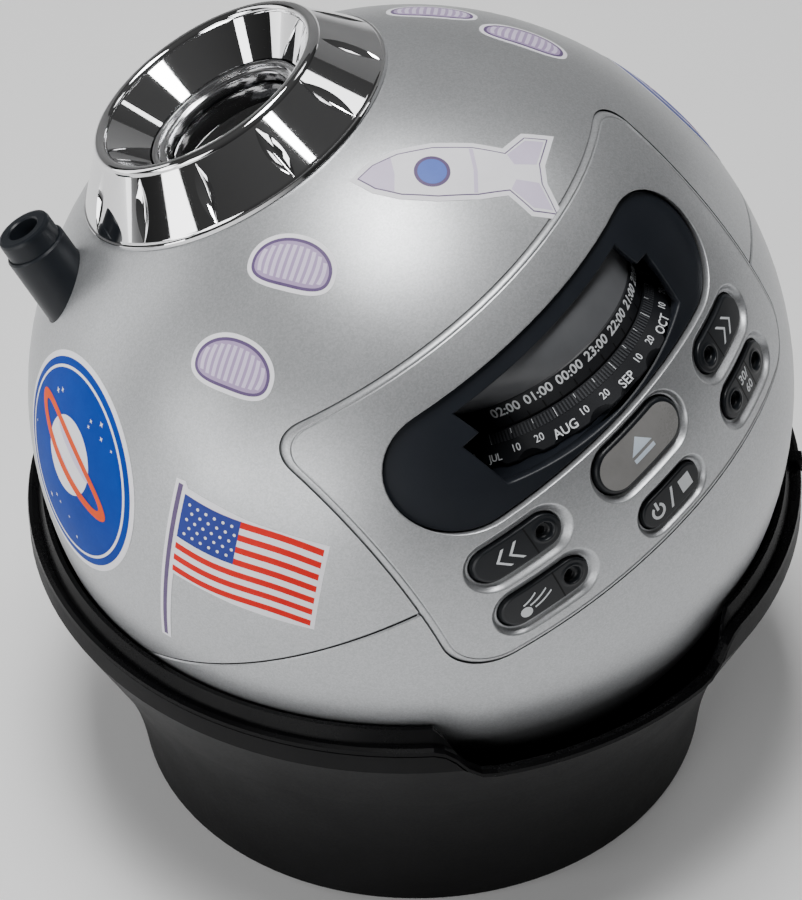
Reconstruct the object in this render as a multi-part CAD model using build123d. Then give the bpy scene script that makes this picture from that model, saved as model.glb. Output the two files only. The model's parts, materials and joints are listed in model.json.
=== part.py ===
"""Home planetarium projector: a ball-shaped star projector that rests in a round bowl base.

Units are millimetres. The row frame has its origin on the table, at the middle of the base, +Z up and
the front of the base towards -Y. The ball's own parts are modelled in the globe frame, whose origin is
the ball's centre, whose +Z is the lens axis and whose -Y is the middle of the control panel. GLOBE_AT
puts them in the row frame at the rest attitude.
"""
from build123d import *
from math import asin, cos, degrees, hypot, pi, radians, sin, sqrt
import os

# ---------------------------------------------------------------- globe: driving dimensions
BALL_RADIUS = 80.0
SHELL_WALL = 2.5
PANEL_PROUD = 0.4           # the control panel stands this far out of the ball
SEAM_DEPTH = 0.5            # V groove round the equator, where the two shells meet
SHUT_GAP = 0.3              # visible gap round a fitted cover
MOVE_GAP = 0.4              # clear space between bodies that move past each other
RUN_FIT = 0.05              # radial clearance of a turning or sliding fit
SEAT_GAP = 0.1              # assembly gap between pieces of one body

BALL_LIFT = 12.0            # lowest point of the ball above the table
BALL_HEIGHT = BALL_RADIUS + BALL_LIFT
LENS_LEAN = 28.9            # lens axis from the vertical
LEAN_HEADING = 47.5         # direction of that lean, turned from +Y towards -X
PANEL_SPIN = -32.9          # spin of the ball about its lens axis

# ---------------------------------------------------------------- control panel
PANEL_HALF_WIDTH = 51.0
PANEL_TOP = 43.5
PANEL_BOTTOM = -19.6
PANEL_TOP_CORNER = 7.0
PANEL_BOTTOM_CORNER = 10.0
POST_RADIUS = 1.8           # posts that carry the button board
POST_X = 17.0
POST_Z = -5.0

# ---------------------------------------------------------------- disc drawer
DRAWER_MID_Z = 22.0
DRAWER_END_X = 30.4         # centre of each rounded end
DRAWER_END_RADIUS = 12.6
DRAWER_RECESS = 0.9         # the drawer front lies this far below the ball's surface
WINDOW_LEFT = ((-24.2, 30.9), (-23.0, 25.3), (-27.0, 24.9), (-25.1, 14.1))
WINDOW_RIGHT = ((24.5, 30.9), (25.5, 25.3), (29.0, 24.7), (27.6, 13.6))
WINDOW_LOW = (6.5, 10.2)    # lowest point of its curved lower edge

# ---------------------------------------------------------------- gears, dial and star disc
GEAR_MODULE = BALL_RADIUS / 80
DISC_TEETH = 47
PINION_TEETH = 12
TOOTH_BACKLASH = 0.34
GEAR_LINE_ANGLE = 7.6       # the dial's, the carrier's and the motor's axes stand in a line, turned by this
GEAR_TIP = GEAR_MODULE * (DISC_TEETH / 2 + 0.9)
GEAR_BOTTOM_Z = 17.4
GEAR_THICK = 1.6
DIAL_DISTANCE = GEAR_MODULE * DISC_TEETH
DIAL_RADIUS = BALL_RADIUS - DIAL_DISTANCE - 1.8
DIAL_BOTTOM_Z = 11.0
DIAL_TOP_Z = GEAR_BOTTOM_Z - MOVE_GAP
DIAL_STEP_RADIUS = GEAR_TIP + 2.8
DIAL_RIM = 0.6
DIAL_BEVEL = 0.7
DIAL_WEB = 2.0
DIAL_GRIPS = 24
GRIP_RADIUS = 6.0
GRIP_DEPTH = 0.8
SPINDLE_RADIUS = 4.0
HOUR_RADIUS = DIAL_STEP_RADIUS
HOUR_TOP_Z = 22.9
HOUR_WALL = 1.1
SHELF_BORE = GEAR_TIP + 1.0
CARRIER_RADIUS = SHELF_BORE + 5.6
CARRIER_FLOOR = 1.4
STAR_DISC_RADIUS = CARRIER_RADIUS - 3.0
STAR_DISC_THICK = 1.5
CARRIER_BORE = STAR_DISC_RADIUS - 7.8

# ---------------------------------------------------------------- sliding tray
TRAY_FLOOR_Z = DRAWER_MID_Z - DRAWER_END_RADIUS + MOVE_GAP
TRAY_FLOOR = 0.9
TRAY_WALL = 2.0
RAIL_INNER = CARRIER_RADIUS + 2.5
RAIL_OUTER = RAIL_INNER + 4.5
RAIL_TOP_Z = 20.0
TRAY_BACK_Y = BALL_RADIUS / 2
TRAY_TRAVEL = 72.0

# ---------------------------------------------------------------- optics on the lens axis
RING_FOOT_RADIUS = 35.3
RING_FOOT_BAND = 1.0
RING_LIP_RADIUS = 26.3
RING_LIP_INNER = 23.5
RING_LIP_Z = BALL_RADIUS + 5.0
RING_BORE = 17.6
RING_FUNNEL_Z = BALL_RADIUS - 3.6
RING_SPIGOT_RADIUS = 29.6
RING_BOTTOM_Z = BALL_RADIUS - 10.8
RING_GRIPS = 12
GRIP_LENGTH = 14.5
GRIP_WIDTH = 4.6
LENS_HOLE_RADIUS = 30.0
BARREL_RADIUS = 17.0
BARREL_BORE = 14.6
BARREL_BOTTOM_Z = BALL_RADIUS - 30.0
BARREL_TOP_Z = BALL_RADIUS - 5.0
FOCUS_TRAVEL = 2.0          # barrel travel each way from rest
GUIDE_WALL = 2.0
GUIDE_FLANGE_RADIUS = 36.0
GUIDE_FLANGE_TOP_Z = BALL_RADIUS - 11.5
GUIDE_FLANGE = 2.5
DECK_TOP_Z = 9.3
DECK = 2.0
DECK_FRONT_Y = -22.0
LAMP_HOUSING_RADIUS = 17.5
LAMP_HOUSING_BOTTOM_Z = -12.0
CONDENSER_RADIUS = 15.0
LAMP_BOARD_Z = -10.0
LAMP_BOARD_THICK = 1.6
HEAT_SINK_HEIGHT = 12.0
HEAT_SINK_FINS = 7

# ---------------------------------------------------------------- meteor tube
TUBE_OFFSET = 46.5          # distance of its axis from the lens axis
TUBE_ANGLE = -114.6         # round the lens axis, from the panel
TUBE_RADIUS = 6.5
TUBE_TIP_RADIUS = 5.9       # the last part of it is a little narrower
TUBE_TIP = 4.5
TUBE_BORE = 3.3
TUBE_TOP_Z = BALL_RADIUS + 0.5
TUBE_BOTTOM_Z = BALL_RADIUS - 26.0

# ---------------------------------------------------------------- motor
MOTOR_RADIUS = 9.0
MOTOR_LENGTH = 21.0
MOTOR_TOP_Z = 7.0
SHAFT_RADIUS = 1.5
SHAFT_ENGAGED = 5.0

# ---------------------------------------------------------------- buttons
# name: centre x, centre z, half length, half height
BUTTONS = {
    "eject_button": (0.0, 1.5, 11.8, 5.3),
    "power_button": (0.3, -12.7, 8.2, 3.4),
    "reverse_button": (-31.0, 1.7, 9.2, 3.7),
    "forward_button": (31.0, 1.7, 9.2, 3.7),
    "meteor_button": (-31.0, -10.7, 9.2, 3.7),
    "timer_button": (30.6, -10.7, 9.2, 3.7),
}
DIMPLES = {
    "eject_button": (),
    "power_button": (),
    "reverse_button": (5.6,),
    "forward_button": (-5.6,),
    "meteor_button": (5.6,),
    "timer_button": (-5.4, 5.2),
}
DIMPLE_RADIUS = 1.9
DIMPLE_DEPTH = 0.7
BUTTON_DEPTH = 4.4
BUTTON_FLANGE = 0.8
BUTTON_PLAY = 0.35
DISH_DEPTH = 1.5
DISH_SLOPE = 0.66           # sine of the recess wall's slope
DISH_FLOOR = 0.25           # level ring between the hole and that wall
BUTTON_TRAVEL = 0.8
STEM_RADIUS = 2.0
BOARD_Y = 22.0 - BALL_RADIUS
BOARD_THICK = 1.6
BOARD_HALF_WIDTH = 42.0
BOARD_TOP_Z = 6.6
BOARD_BOTTOM_Z = -16.5
SWITCH_SIZE = 6.0
SWITCH_HEIGHT = 3.6
SWITCH_GAP = 1.1            # between a stem and its switch: more than the travel

# ---------------------------------------------------------------- drawer latch
LATCH_PIVOT_Y = BOARD_Y + 8.0
LATCH_PIVOT_Z = -5.0
LATCH_PIN_RADIUS = 1.5
LATCH_HALF_WIDTH = 4.0
LATCH_BAR = 2.0             # half thickness of its arms
LATCH_PAD_Y = LATCH_PIVOT_Y + 15.5  # its other arm ends in a pad under the tray's floor
EAR_THICK = 2.0

# ---------------------------------------------------------------- battery and power
BATTERY_RADIUS = 7.1
BATTERY_LENGTH = 50.0
BATTERY_COUNT = 3
BATTERY_PITCH = 15.0
BATTERY_Z = 28.0 - BALL_RADIUS
BOX_WALL = 1.6
COVER_HALF_X = 30.0
COVER_HALF_Y = 27.0
COVER_CORNER = 8.0
SOCKET_RISE = 28.0          # degrees above the equator, at the back
SOCKET_RADIUS = 4.0
SOCKET_BORE = 2.8
SOCKET_DEPTH = 9.0
SOCKET_PIN = 1.0
SOCKET_BODY = 12.0

# ---------------------------------------------------------------- screws that close the ball
BOSS_CIRCLE = BALL_RADIUS - 11.0
BOSS_RADIUS = 3.6
BOSS_ANGLES = (112.0, 160.0, -138.0, -72.0)
SCREW_SEAT_Z = -10.0
SCREW_HEAD_RADIUS = 2.7
SCREW_HEAD = 2.0
SCREW_RADIUS = 1.4
SCREW_LENGTH = 17.0

# ---------------------------------------------------------------- base
RIM_RADIUS = BALL_RADIUS + 2.3
RIM_TOP_Z = BALL_HEIGHT - 21.4
RIM_SPLIT_Z = RIM_TOP_Z - 4.8
RIM_FULL_Z = RIM_SPLIT_Z - 4.3
FLARE_RADIUS = RIM_RADIUS - 9.4   # where the straight flare under the rim starts to curve down
FLARE_Z = RIM_FULL_Z - 19.5
BASE_FOOT_RADIUS = RIM_RADIUS - 20.9
BOWL_WALL = 2.4
BASE_LIFT = 1.0             # the wall's lower edge above the table
DISH_GAP = 3.0              # between the ball and the dish
DISH_RADIUS = BALL_RADIUS + DISH_GAP
DISH_WALL = 2.2
DISH_LEDGE = 2.9            # the ledge round the dish stands this far above the join under it
BALL_CLEARANCE = 0.6        # between the rim's collar and the ball
SCOOP_DROP = 8.0            # the front of the rim dips by this much
SCOOP_STEPS = (             # degrees from the front, share of the dip, share of the collar
    (26.0, 0.0, 1.0),
    (24.4, 0.08, 0.5),
    (22.9, 0.3, 0.0),
    (21.1, 0.7, 0.0),
    (19.2, 0.94, 0.0),
    (17.0, 1.0, 0.0),
)
SCOOP_REACH = 20.0          # how far in from the rim the dip is cut
NUB_ANGLE = 62.0            # the index mark on the rim
NUB_WIDTH = 3.0
PLATE_THICK = 2.0
PLATE_Z = 1.4
PAD_COUNT = 4
PAD_POLAR = 44.0            # pads' angle from straight down, seen from the ball's centre
PAD_RADIUS = 6.0
PAD_GAP = 0.3
FOOT_COUNT = 4
FOOT_CIRCLE = BASE_FOOT_RADIUS - 13.4
FOOT_RADIUS = 6.0
FOOT_HEIGHT = 1.2
BASE_BOSS_CIRCLE = BASE_FOOT_RADIUS - 21.4
BASE_BOSS_RADIUS = 4.0
BASE_SCREW_LENGTH = 12.0

GLOBE_AT = (
    Pos(0, 0, BALL_HEIGHT)
    * Rot(0, 0, LEAN_HEADING)
    * Rot(-LENS_LEAN, 0, 0)
    * Rot(0, 0, PANEL_SPIN)
)
FRONT = Plane.XZ             # sketches seen from the panel side; extruding goes towards -Y
INNER_RADIUS = BALL_RADIUS - SHELL_WALL
PANEL_RADIUS = BALL_RADIUS + PANEL_PROUD
DRAWER_RADIUS = BALL_RADIUS - DRAWER_RECESS
FAR = 2 * BALL_RADIUS        # longer than anything it has to cut


# ---------------------------------------------------------------- helpers
def tube(outer, inner, bottom, top):
    """A plain ring between two heights."""
    height = top - bottom
    return Pos(0, 0, bottom + height / 2) * (Cylinder(outer, height) - Cylinder(inner, height))


def rod(radius, bottom, top):
    """A plain round bar between two heights."""
    height = top - bottom
    return Pos(0, 0, bottom + height / 2) * Cylinder(radius, height)


def block(x0, x1, y0, y1, z0, z1):
    """A box given by its limits."""
    return Pos((x0 + x1) / 2, (y0 + y1) / 2, (z0 + z1) / 2) * Box(x1 - x0, y1 - y0, z1 - z0)


def ball_wall(outer, wall):
    """A hollow ball."""
    return Sphere(outer) - Sphere(outer - wall)


def turned(points, angle=360.0):
    """A solid of revolution about Z, from (radius, height) corners joined by straight lines."""
    profile = make_face(Plane.XZ * Polyline(*points, close=True))
    return revolve(profile, Axis.Z, angle)


def stadium(half_length, half_height):
    """A sketch with two parallel sides and two round ends."""
    return SlotOverall(2 * half_length, 2 * half_height)


def forward_prism(sketch):
    """Everything in front of the globe's middle that lies behind a sketch on the FRONT plane."""
    return extrude(FRONT * sketch, FAR)


def at_polar(radius, angle):
    """A place at a distance from Z and an angle round it, counted from -Y towards +X."""
    return Pos(radius * sin(radians(angle)), -radius * cos(radians(angle)), 0)


def gear(teeth, bottom, thick):
    """A spur gear with straight-flanked teeth, one of them pointing to -Y."""
    pitch = GEAR_MODULE * teeth / 2
    tip = pitch + 0.9 * GEAR_MODULE
    root = pitch - 1.2 * GEAR_MODULE
    half_pitch = (pi * GEAR_MODULE / 2 - TOOTH_BACKLASH) / 2
    slope = 0.42 * GEAR_MODULE
    tooth = make_face(
        Polyline(
            (half_pitch + slope, 0.5 - root),
            (half_pitch + slope, -root),
            (half_pitch - slope, -tip),
            (slope - half_pitch, -tip),
            (-half_pitch - slope, -root),
            (-half_pitch - slope, 0.5 - root),
            close=True,
        )
    )
    outline = Circle(root)
    for index in range(teeth):
        outline += Rot(0, 0, 360.0 * index / teeth) * tooth
    return Pos(0, 0, bottom) * extrude(outline, thick)


# ---------------------------------------------------------------- globe: casings
def panel_outline(offset=0.0):
    """The control panel's outline, with larger corners at the bottom."""
    half = PANEL_HALF_WIDTH + offset
    top = PANEL_TOP + offset
    bottom = PANEL_BOTTOM - offset
    outline = Pos(0, (top + bottom) / 2) * Rectangle(2 * half, top - bottom)
    corners = outline.vertices().sort_by(Axis.Y)
    outline = fillet(corners[:2], PANEL_BOTTOM_CORNER)
    return fillet(outline.vertices().sort_by(Axis.Y)[-2:], PANEL_TOP_CORNER)


def drawer_outline(offset=0.0):
    """The drawer front's outline."""
    end = DRAWER_END_RADIUS + offset
    return Pos(0, DRAWER_MID_Z) * stadium(DRAWER_END_X + end, end)


def socket_frame():
    """The power socket's place: its local Z points out of the ball at the back."""
    return Rot(SOCKET_RISE, 0, 0) * Rot(-90, 0, 0)


def boss_places():
    """The four screws that hold the shells together."""
    return [at_polar(BOSS_CIRCLE, angle) for angle in BOSS_ANGLES]


def seam_groove():
    """The V groove's ring of material."""
    return turned(
        [
            (BALL_RADIUS - SEAM_DEPTH, 0),
            (BALL_RADIUS + SEAM_DEPTH, -2 * SEAM_DEPTH),
            (BALL_RADIUS + SEAM_DEPTH, 2 * SEAM_DEPTH),
        ]
    )


def upper_shell():
    """The lens half of the ball, with its lens hole, meteor tube hole and bosses."""
    shell = ball_wall(BALL_RADIUS, SHELL_WALL)
    bosses = [place * rod(BOSS_RADIUS, 0, BALL_RADIUS) for place in boss_places()]
    inside = Sphere(INNER_RADIUS + SEAT_GAP)
    for boss in bosses:
        shell += boss & inside
    shell &= block(-FAR, FAR, -FAR, FAR, 0, FAR)
    shell -= seam_groove()
    shell -= forward_prism(panel_outline(SHUT_GAP))
    shell -= rod(LENS_HOLE_RADIUS, 0, FAR)
    shell -= at_polar(TUBE_OFFSET, TUBE_ANGLE) * rod(TUBE_RADIUS + SEAT_GAP, 0, FAR)
    shell -= socket_frame() * rod(SOCKET_RADIUS + SEAT_GAP, 0, FAR)
    for place in boss_places():
        shell -= place * rod(SCREW_RADIUS, -1, SCREW_SEAT_Z + SCREW_LENGTH + 1)
    return shell


def cover_outline(offset=0.0):
    """The battery cover's outline, seen from below."""
    sketch = Rectangle(2 * (COVER_HALF_X + offset), 2 * (COVER_HALF_Y + offset))
    return fillet(sketch.vertices(), COVER_CORNER)


def lower_shell():
    """The half of the ball that rests in the bowl."""
    shell = ball_wall(BALL_RADIUS, SHELL_WALL)
    inside = Sphere(INNER_RADIUS + SEAT_GAP)
    for place in boss_places():
        shell += (place * rod(BOSS_RADIUS + 1.2, -BALL_RADIUS, 0)) & inside
    shell &= block(-FAR, FAR, -FAR, FAR, -FAR, 0)
    shell -= seam_groove()
    shell -= forward_prism(panel_outline(SHUT_GAP))
    shell -= extrude(cover_outline(SHUT_GAP), -FAR)
    for place in boss_places():
        shell -= place * rod(SCREW_RADIUS + SEAT_GAP, -BALL_RADIUS, 1)
        shell -= place * rod(SCREW_HEAD_RADIUS + SHUT_GAP, -BALL_RADIUS, SCREW_SEAT_Z)
    return shell


def battery_cover():
    """The lid under the batteries, flush with the ball."""
    lid = ball_wall(BALL_RADIUS, SHELL_WALL)
    return lid & extrude(cover_outline(), -FAR)


def dish_cut(x, z, half_length, half_height):
    """The sloping recess round a button, cut square to the panel's surface there."""
    side = asin(x / PANEL_RADIUS)
    stretch = 1 / cos(side)
    turn = Rot(0, 0, degrees(side)) * Rot(90 - degrees(asin(z / PANEL_RADIUS)), 0, 0)
    margin = BUTTON_PLAY + DISH_FLOOR
    outline = stadium(half_length * stretch + margin, half_height + margin)
    floor = Pos(0, 0, PANEL_RADIUS - DISH_DEPTH) * outline
    return turn * extrude(floor, 2 * DISH_DEPTH, taper=-degrees(asin(DISH_SLOPE)))


def control_panel():
    """The raised front panel with the drawer opening, the buttons' dished recesses and its posts."""
    panel = ball_wall(PANEL_RADIUS, SHELL_WALL) & forward_prism(panel_outline())
    for side in (-1, 1):
        post = Pos(side * POST_X, 0, POST_Z) * Rot(90, 0, 0) * rod(POST_RADIUS, -BOARD_Y + SEAT_GAP, FAR)
        panel += post & Sphere(PANEL_RADIUS - SHELL_WALL + SEAT_GAP)
    panel -= forward_prism(drawer_outline(MOVE_GAP))
    for x, z, half_length, half_height in BUTTONS.values():
        hole = stadium(half_length + BUTTON_PLAY, half_height + BUTTON_PLAY)
        panel -= forward_prism(Pos(x, z) * hole)
        panel -= dish_cut(x, z, half_length, half_height)
    return panel


# ---------------------------------------------------------------- globe: drawer and what it carries
def window_outline():
    """The window in the drawer front that shows the hour drum and the date dial."""
    sides = Polyline(*reversed(WINDOW_LEFT), *WINDOW_RIGHT)
    return make_face(sides + ThreePointArc(WINDOW_RIGHT[-1], WINDOW_LOW, WINDOW_LEFT[-1]))


def drawer_front():
    """The dark front of the disc drawer."""
    front = ball_wall(DRAWER_RADIUS, SHELL_WALL) & forward_prism(drawer_outline())
    front -= forward_prism(window_outline())
    return front - dial_place() * rod(DIAL_RADIUS + MOVE_GAP, DIAL_BOTTOM_Z - MOVE_GAP, DIAL_TOP_Z)


def dial_place():
    """The date dial's axis, with its teeth in phase with the carrier's."""
    return Rot(0, 0, GEAR_LINE_ANGLE) * Pos(0, -DIAL_DISTANCE, 0)


def disc_tray():
    """The sliding tray: floor, rails, bearing ring for the disc carrier and spindle for the dial."""
    floor_top = TRAY_FLOOR_Z + TRAY_FLOOR
    gear_top = GEAR_BOTTOM_Z + GEAR_THICK
    wall_bore = CARRIER_RADIUS + RUN_FIT
    wall_top = gear_top + MOVE_GAP + CARRIER_FLOOR + STAR_DISC_THICK
    tray = block(-RAIL_OUTER, RAIL_OUTER, -BALL_RADIUS, TRAY_BACK_Y, TRAY_FLOOR_Z, floor_top)
    for side in (-1, 1):
        x0, x1 = sorted((side * RAIL_INNER, side * RAIL_OUTER))
        tray += block(x0, x1, -BALL_RADIUS, TRAY_BACK_Y, TRAY_FLOOR_Z, RAIL_TOP_Z)
    ring = tube(wall_bore + TRAY_WALL, SHELF_BORE, GEAR_BOTTOM_Z - 1, wall_top)
    ring -= rod(wall_bore, gear_top + MOVE_GAP / 4, wall_top + 1)
    for side in (-1, 1):
        x0, x1 = sorted((side * (SHELF_BORE + 2), side * RAIL_OUTER))
        ring += block(x0, x1, -6, 6, floor_top, gear_top) - rod(SHELF_BORE, 0, FAR)
    tray += ring
    dial_room = rod(DIAL_RADIUS + MOVE_GAP, floor_top, DIAL_TOP_Z + MOVE_GAP)
    dial_room += rod(GEAR_TIP + MOVE_GAP, floor_top, gear_top + MOVE_GAP)
    tray -= dial_place() * dial_room
    tray += dial_place() * rod(SPINDLE_RADIUS, floor_top, gear_top + MOVE_GAP)
    tray -= rod(CARRIER_BORE - 1, 0, floor_top)
    notch = GEAR_MODULE * (PINION_TEETH / 2 + 1) + MOVE_GAP
    middle = pinion_place().position.X
    tray -= block(middle - notch, middle + notch, CARRIER_BORE, FAR, 0, gear_top + MOVE_GAP)
    tray &= extrude(FRONT * drawer_outline(-MOVE_GAP), FAR, both=True)
    return tray & Sphere(DRAWER_RADIUS - SHELL_WALL)


def hour_scale():
    """The fixed half drum behind the window that carries the hours, with ears on the tray's rails."""
    bottom = DIAL_TOP_Z + MOVE_GAP
    hub_bottom = GEAR_BOTTOM_Z + GEAR_THICK + MOVE_GAP
    drum = rod(HOUR_RADIUS, bottom, HOUR_TOP_Z) - rod(HOUR_RADIUS - HOUR_WALL, 0, HOUR_TOP_Z - HOUR_WALL)
    drum += rod(SPINDLE_RADIUS + 2, hub_bottom, HOUR_TOP_Z)
    drum = chamfer(drum.edges().sort_by(Axis.Z)[-1], 0.25)
    drum &= block(-FAR, FAR, -FAR, 0, 0, FAR)
    axis = dial_place().position
    drum = Pos(axis.X, axis.Y, 0) * drum
    for side in (-1, 1):
        x0, x1 = sorted((axis.X + side * (HOUR_RADIUS - 5), side * (RAIL_OUTER - 1)))
        drum += block(x0, x1, axis.Y - 5, axis.Y, RAIL_TOP_Z, RAIL_TOP_Z + 2)
    return drum


def date_dial():
    """The conical date dial that is turned by thumb, with the gear under the hour scale."""
    web_bottom = DIAL_TOP_Z - DIAL_WEB
    dial = turned(
        [
            (SPINDLE_RADIUS + RUN_FIT, web_bottom),
            (DIAL_STEP_RADIUS - DIAL_WEB, web_bottom),
            (DIAL_RADIUS - 2 * DIAL_WEB, DIAL_BOTTOM_Z),
            (DIAL_RADIUS - DIAL_BEVEL, DIAL_BOTTOM_Z),
            (DIAL_RADIUS, DIAL_BOTTOM_Z + DIAL_RIM / 2),
            (DIAL_RADIUS, DIAL_BOTTOM_Z + DIAL_RIM),
            (DIAL_STEP_RADIUS, DIAL_TOP_Z),
            (SPINDLE_RADIUS + RUN_FIT, DIAL_TOP_Z),
        ]
    )
    for index in range(DIAL_GRIPS):
        grip = at_polar(DIAL_RADIUS + GRIP_RADIUS - GRIP_DEPTH, 360.0 * (index + 0.5) / DIAL_GRIPS)
        dial -= grip * rod(GRIP_RADIUS, 0, DIAL_TOP_Z)
    teeth = gear(DISC_TEETH, DIAL_TOP_Z, GEAR_BOTTOM_Z + GEAR_THICK - DIAL_TOP_Z)
    teeth -= rod(SPINDLE_RADIUS + RUN_FIT, 0, FAR)
    return dial_place() * (dial + teeth)


def disc_carrier():
    """The turning ring that holds the star disc, with the gear that dial and motor drive."""
    gear_top = GEAR_BOTTOM_Z + GEAR_THICK
    dish_bottom = gear_top + MOVE_GAP
    dish_top = dish_bottom + CARRIER_FLOOR + STAR_DISC_THICK
    carrier = Rot(0, 0, GEAR_LINE_ANGLE) * gear(DISC_TEETH, GEAR_BOTTOM_Z, GEAR_THICK)
    carrier += rod(DISC_TEETH / 2 * GEAR_MODULE - 1.2, GEAR_BOTTOM_Z, dish_bottom + CARRIER_FLOOR)
    carrier += rod(CARRIER_RADIUS, dish_bottom, dish_top)
    carrier -= rod(CARRIER_BORE, 0, FAR)
    carrier -= rod(STAR_DISC_RADIUS + SEAT_GAP, dish_bottom + CARRIER_FLOOR, FAR)
    return carrier


def star_disc():
    """The removable disc with the star image."""
    bottom = GEAR_BOTTOM_Z + GEAR_THICK + MOVE_GAP + CARRIER_FLOOR
    return rod(STAR_DISC_RADIUS, bottom, bottom + STAR_DISC_THICK)


def pinion_place():
    """The motor's axis, behind the disc carrier."""
    return Rot(0, 0, GEAR_LINE_ANGLE) * Pos(0, GEAR_MODULE * (DISC_TEETH + PINION_TEETH) / 2, 0)


def drive_pinion():
    """The motor's pinion and its shaft."""
    wheel = gear(PINION_TEETH, GEAR_BOTTOM_Z, GEAR_THICK)
    return pinion_place() * (wheel + rod(SHAFT_RADIUS, MOTOR_TOP_Z - SHAFT_ENGAGED, GEAR_BOTTOM_Z + 0.5))


def drive_motor():
    """The gear motor that turns the sky."""
    can = rod(MOTOR_RADIUS, MOTOR_TOP_Z - MOTOR_LENGTH, MOTOR_TOP_Z)
    can -= rod(SHAFT_RADIUS + RUN_FIT, MOTOR_TOP_Z - SHAFT_ENGAGED - 1, FAR)
    return pinion_place() * can


# ---------------------------------------------------------------- globe: inner frame
def chassis():
    """The deck inside the ball, with the tray's guides, the lamp tube and the latch ears."""
    deck_bottom = DECK_TOP_Z - DECK
    deck = rod(BALL_RADIUS, deck_bottom, DECK_TOP_Z) & block(-FAR, FAR, DECK_FRONT_Y, FAR, 0, FAR)
    outer = RAIL_OUTER + MOVE_GAP
    guide_front = LATCH_PIVOT_Y - 7
    for side in (-1, 1):
        x0, x1 = sorted((side * (outer - 8), side * (outer + DECK)))
        deck += block(x0, x1, guide_front, DECK_FRONT_Y + 1, deck_bottom, DECK_TOP_Z)
        x0, x1 = sorted((side * outer, side * (outer + DECK)))
        deck += block(x0, x1, guide_front, TRAY_BACK_Y, deck_bottom, RAIL_TOP_Z + MOVE_GAP + DECK)
        x0, x1 = sorted((side * (RAIL_INNER + 2), side * (outer + DECK)))
        lip_bottom = RAIL_TOP_Z + 2 + MOVE_GAP
        deck += block(x0, x1, guide_front, TRAY_BACK_Y, lip_bottom, lip_bottom + DECK)
    deck += block(-outer, outer, guide_front, guide_front + 2 * EAR_THICK + 9, deck_bottom, DECK_TOP_Z)
    ear_inner = LATCH_HALF_WIDTH + MOVE_GAP
    ear_half = LATCH_PIN_RADIUS + 2
    for side in (-1, 1):
        x0, x1 = sorted((side * ear_inner, side * (ear_inner + EAR_THICK)))
        deck += block(
            x0, x1, LATCH_PIVOT_Y - ear_half, LATCH_PIVOT_Y + ear_half, LATCH_PIVOT_Z - ear_half, deck_bottom
        )
    deck -= latch_axis() * Rot(0, 90, 0) * rod(LATCH_PIN_RADIUS + SEAT_GAP / 2, -FAR, FAR)
    deck += rod(LAMP_HOUSING_RADIUS, LAMP_HOUSING_BOTTOM_Z, deck_bottom)
    deck -= rod(CONDENSER_RADIUS + SEAT_GAP, LAMP_HOUSING_BOTTOM_Z - 1, DECK_TOP_Z + 1)
    deck -= pinion_place() * rod(2 * SHAFT_RADIUS, 0, FAR)
    for place in boss_places():
        deck -= place * rod(BOSS_RADIUS + SHUT_GAP, -FAR, FAR)
    return deck & Sphere(INNER_RADIUS - SEAT_GAP)


def condenser_lens():
    """The plano-convex lens that gathers the lamp's light."""
    dome_radius = 22.0
    flat_z = DECK_TOP_Z - 1
    edge = 2.5
    dome = Pos(0, 0, flat_z - edge - 7 + dome_radius) * Sphere(dome_radius)
    return rod(CONDENSER_RADIUS, flat_z - FAR, flat_z) & dome & rod(CONDENSER_RADIUS, flat_z - 9.5, flat_z)


def lamp_board():
    """The lamp's round board, in the foot of the lamp tube."""
    return rod(CONDENSER_RADIUS, LAMP_BOARD_Z - LAMP_BOARD_THICK, LAMP_BOARD_Z)


def star_lamp():
    """The light-emitting diode: square package and dome."""
    package = Pos(0, 0, LAMP_BOARD_Z + 0.75) * Box(5, 5, 1.5)
    dome = Pos(0, 0, LAMP_BOARD_Z + 1.5) * Sphere(2.2)
    return package + (dome & rod(5, LAMP_BOARD_Z + 1.5, FAR))


def heat_sink():
    """The finned block behind the lamp's board."""
    top = LAMP_BOARD_Z - LAMP_BOARD_THICK
    half = CONDENSER_RADIUS * 0.66
    plug = rod(CONDENSER_RADIUS, top - 2, top)
    pitch = 2 * half / (HEAT_SINK_FINS - 1)
    for index in range(HEAT_SINK_FINS):
        x = -half + index * pitch
        plug += block(x - 0.6, x + 0.6, -half, half, top - HEAT_SINK_HEIGHT, top - 1)
    return plug


def lens_guide():
    """The fixed tube that the lens barrel slides in, with its flange under the upper shell."""
    bore = BARREL_RADIUS + RUN_FIT
    flange_bottom = GUIDE_FLANGE_TOP_Z - GUIDE_FLANGE
    guide = tube(bore + GUIDE_WALL, bore, BARREL_BOTTOM_Z + 6, GUIDE_FLANGE_TOP_Z)
    guide += tube(GUIDE_FLANGE_RADIUS, bore, flange_bottom, GUIDE_FLANGE_TOP_Z)
    return guide & Sphere(INNER_RADIUS - SEAT_GAP / 2)


def grip_spindle(length, width):
    """A pointed spindle along Z: four cones whose corners lie on a shallow curve."""
    half = width / 2
    return turned(
        [
            (0, -length / 2),
            (0.75 * half, -length / 4),
            (half, 0),
            (0.75 * half, length / 4),
            (0, length / 2),
        ]
    )


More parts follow.
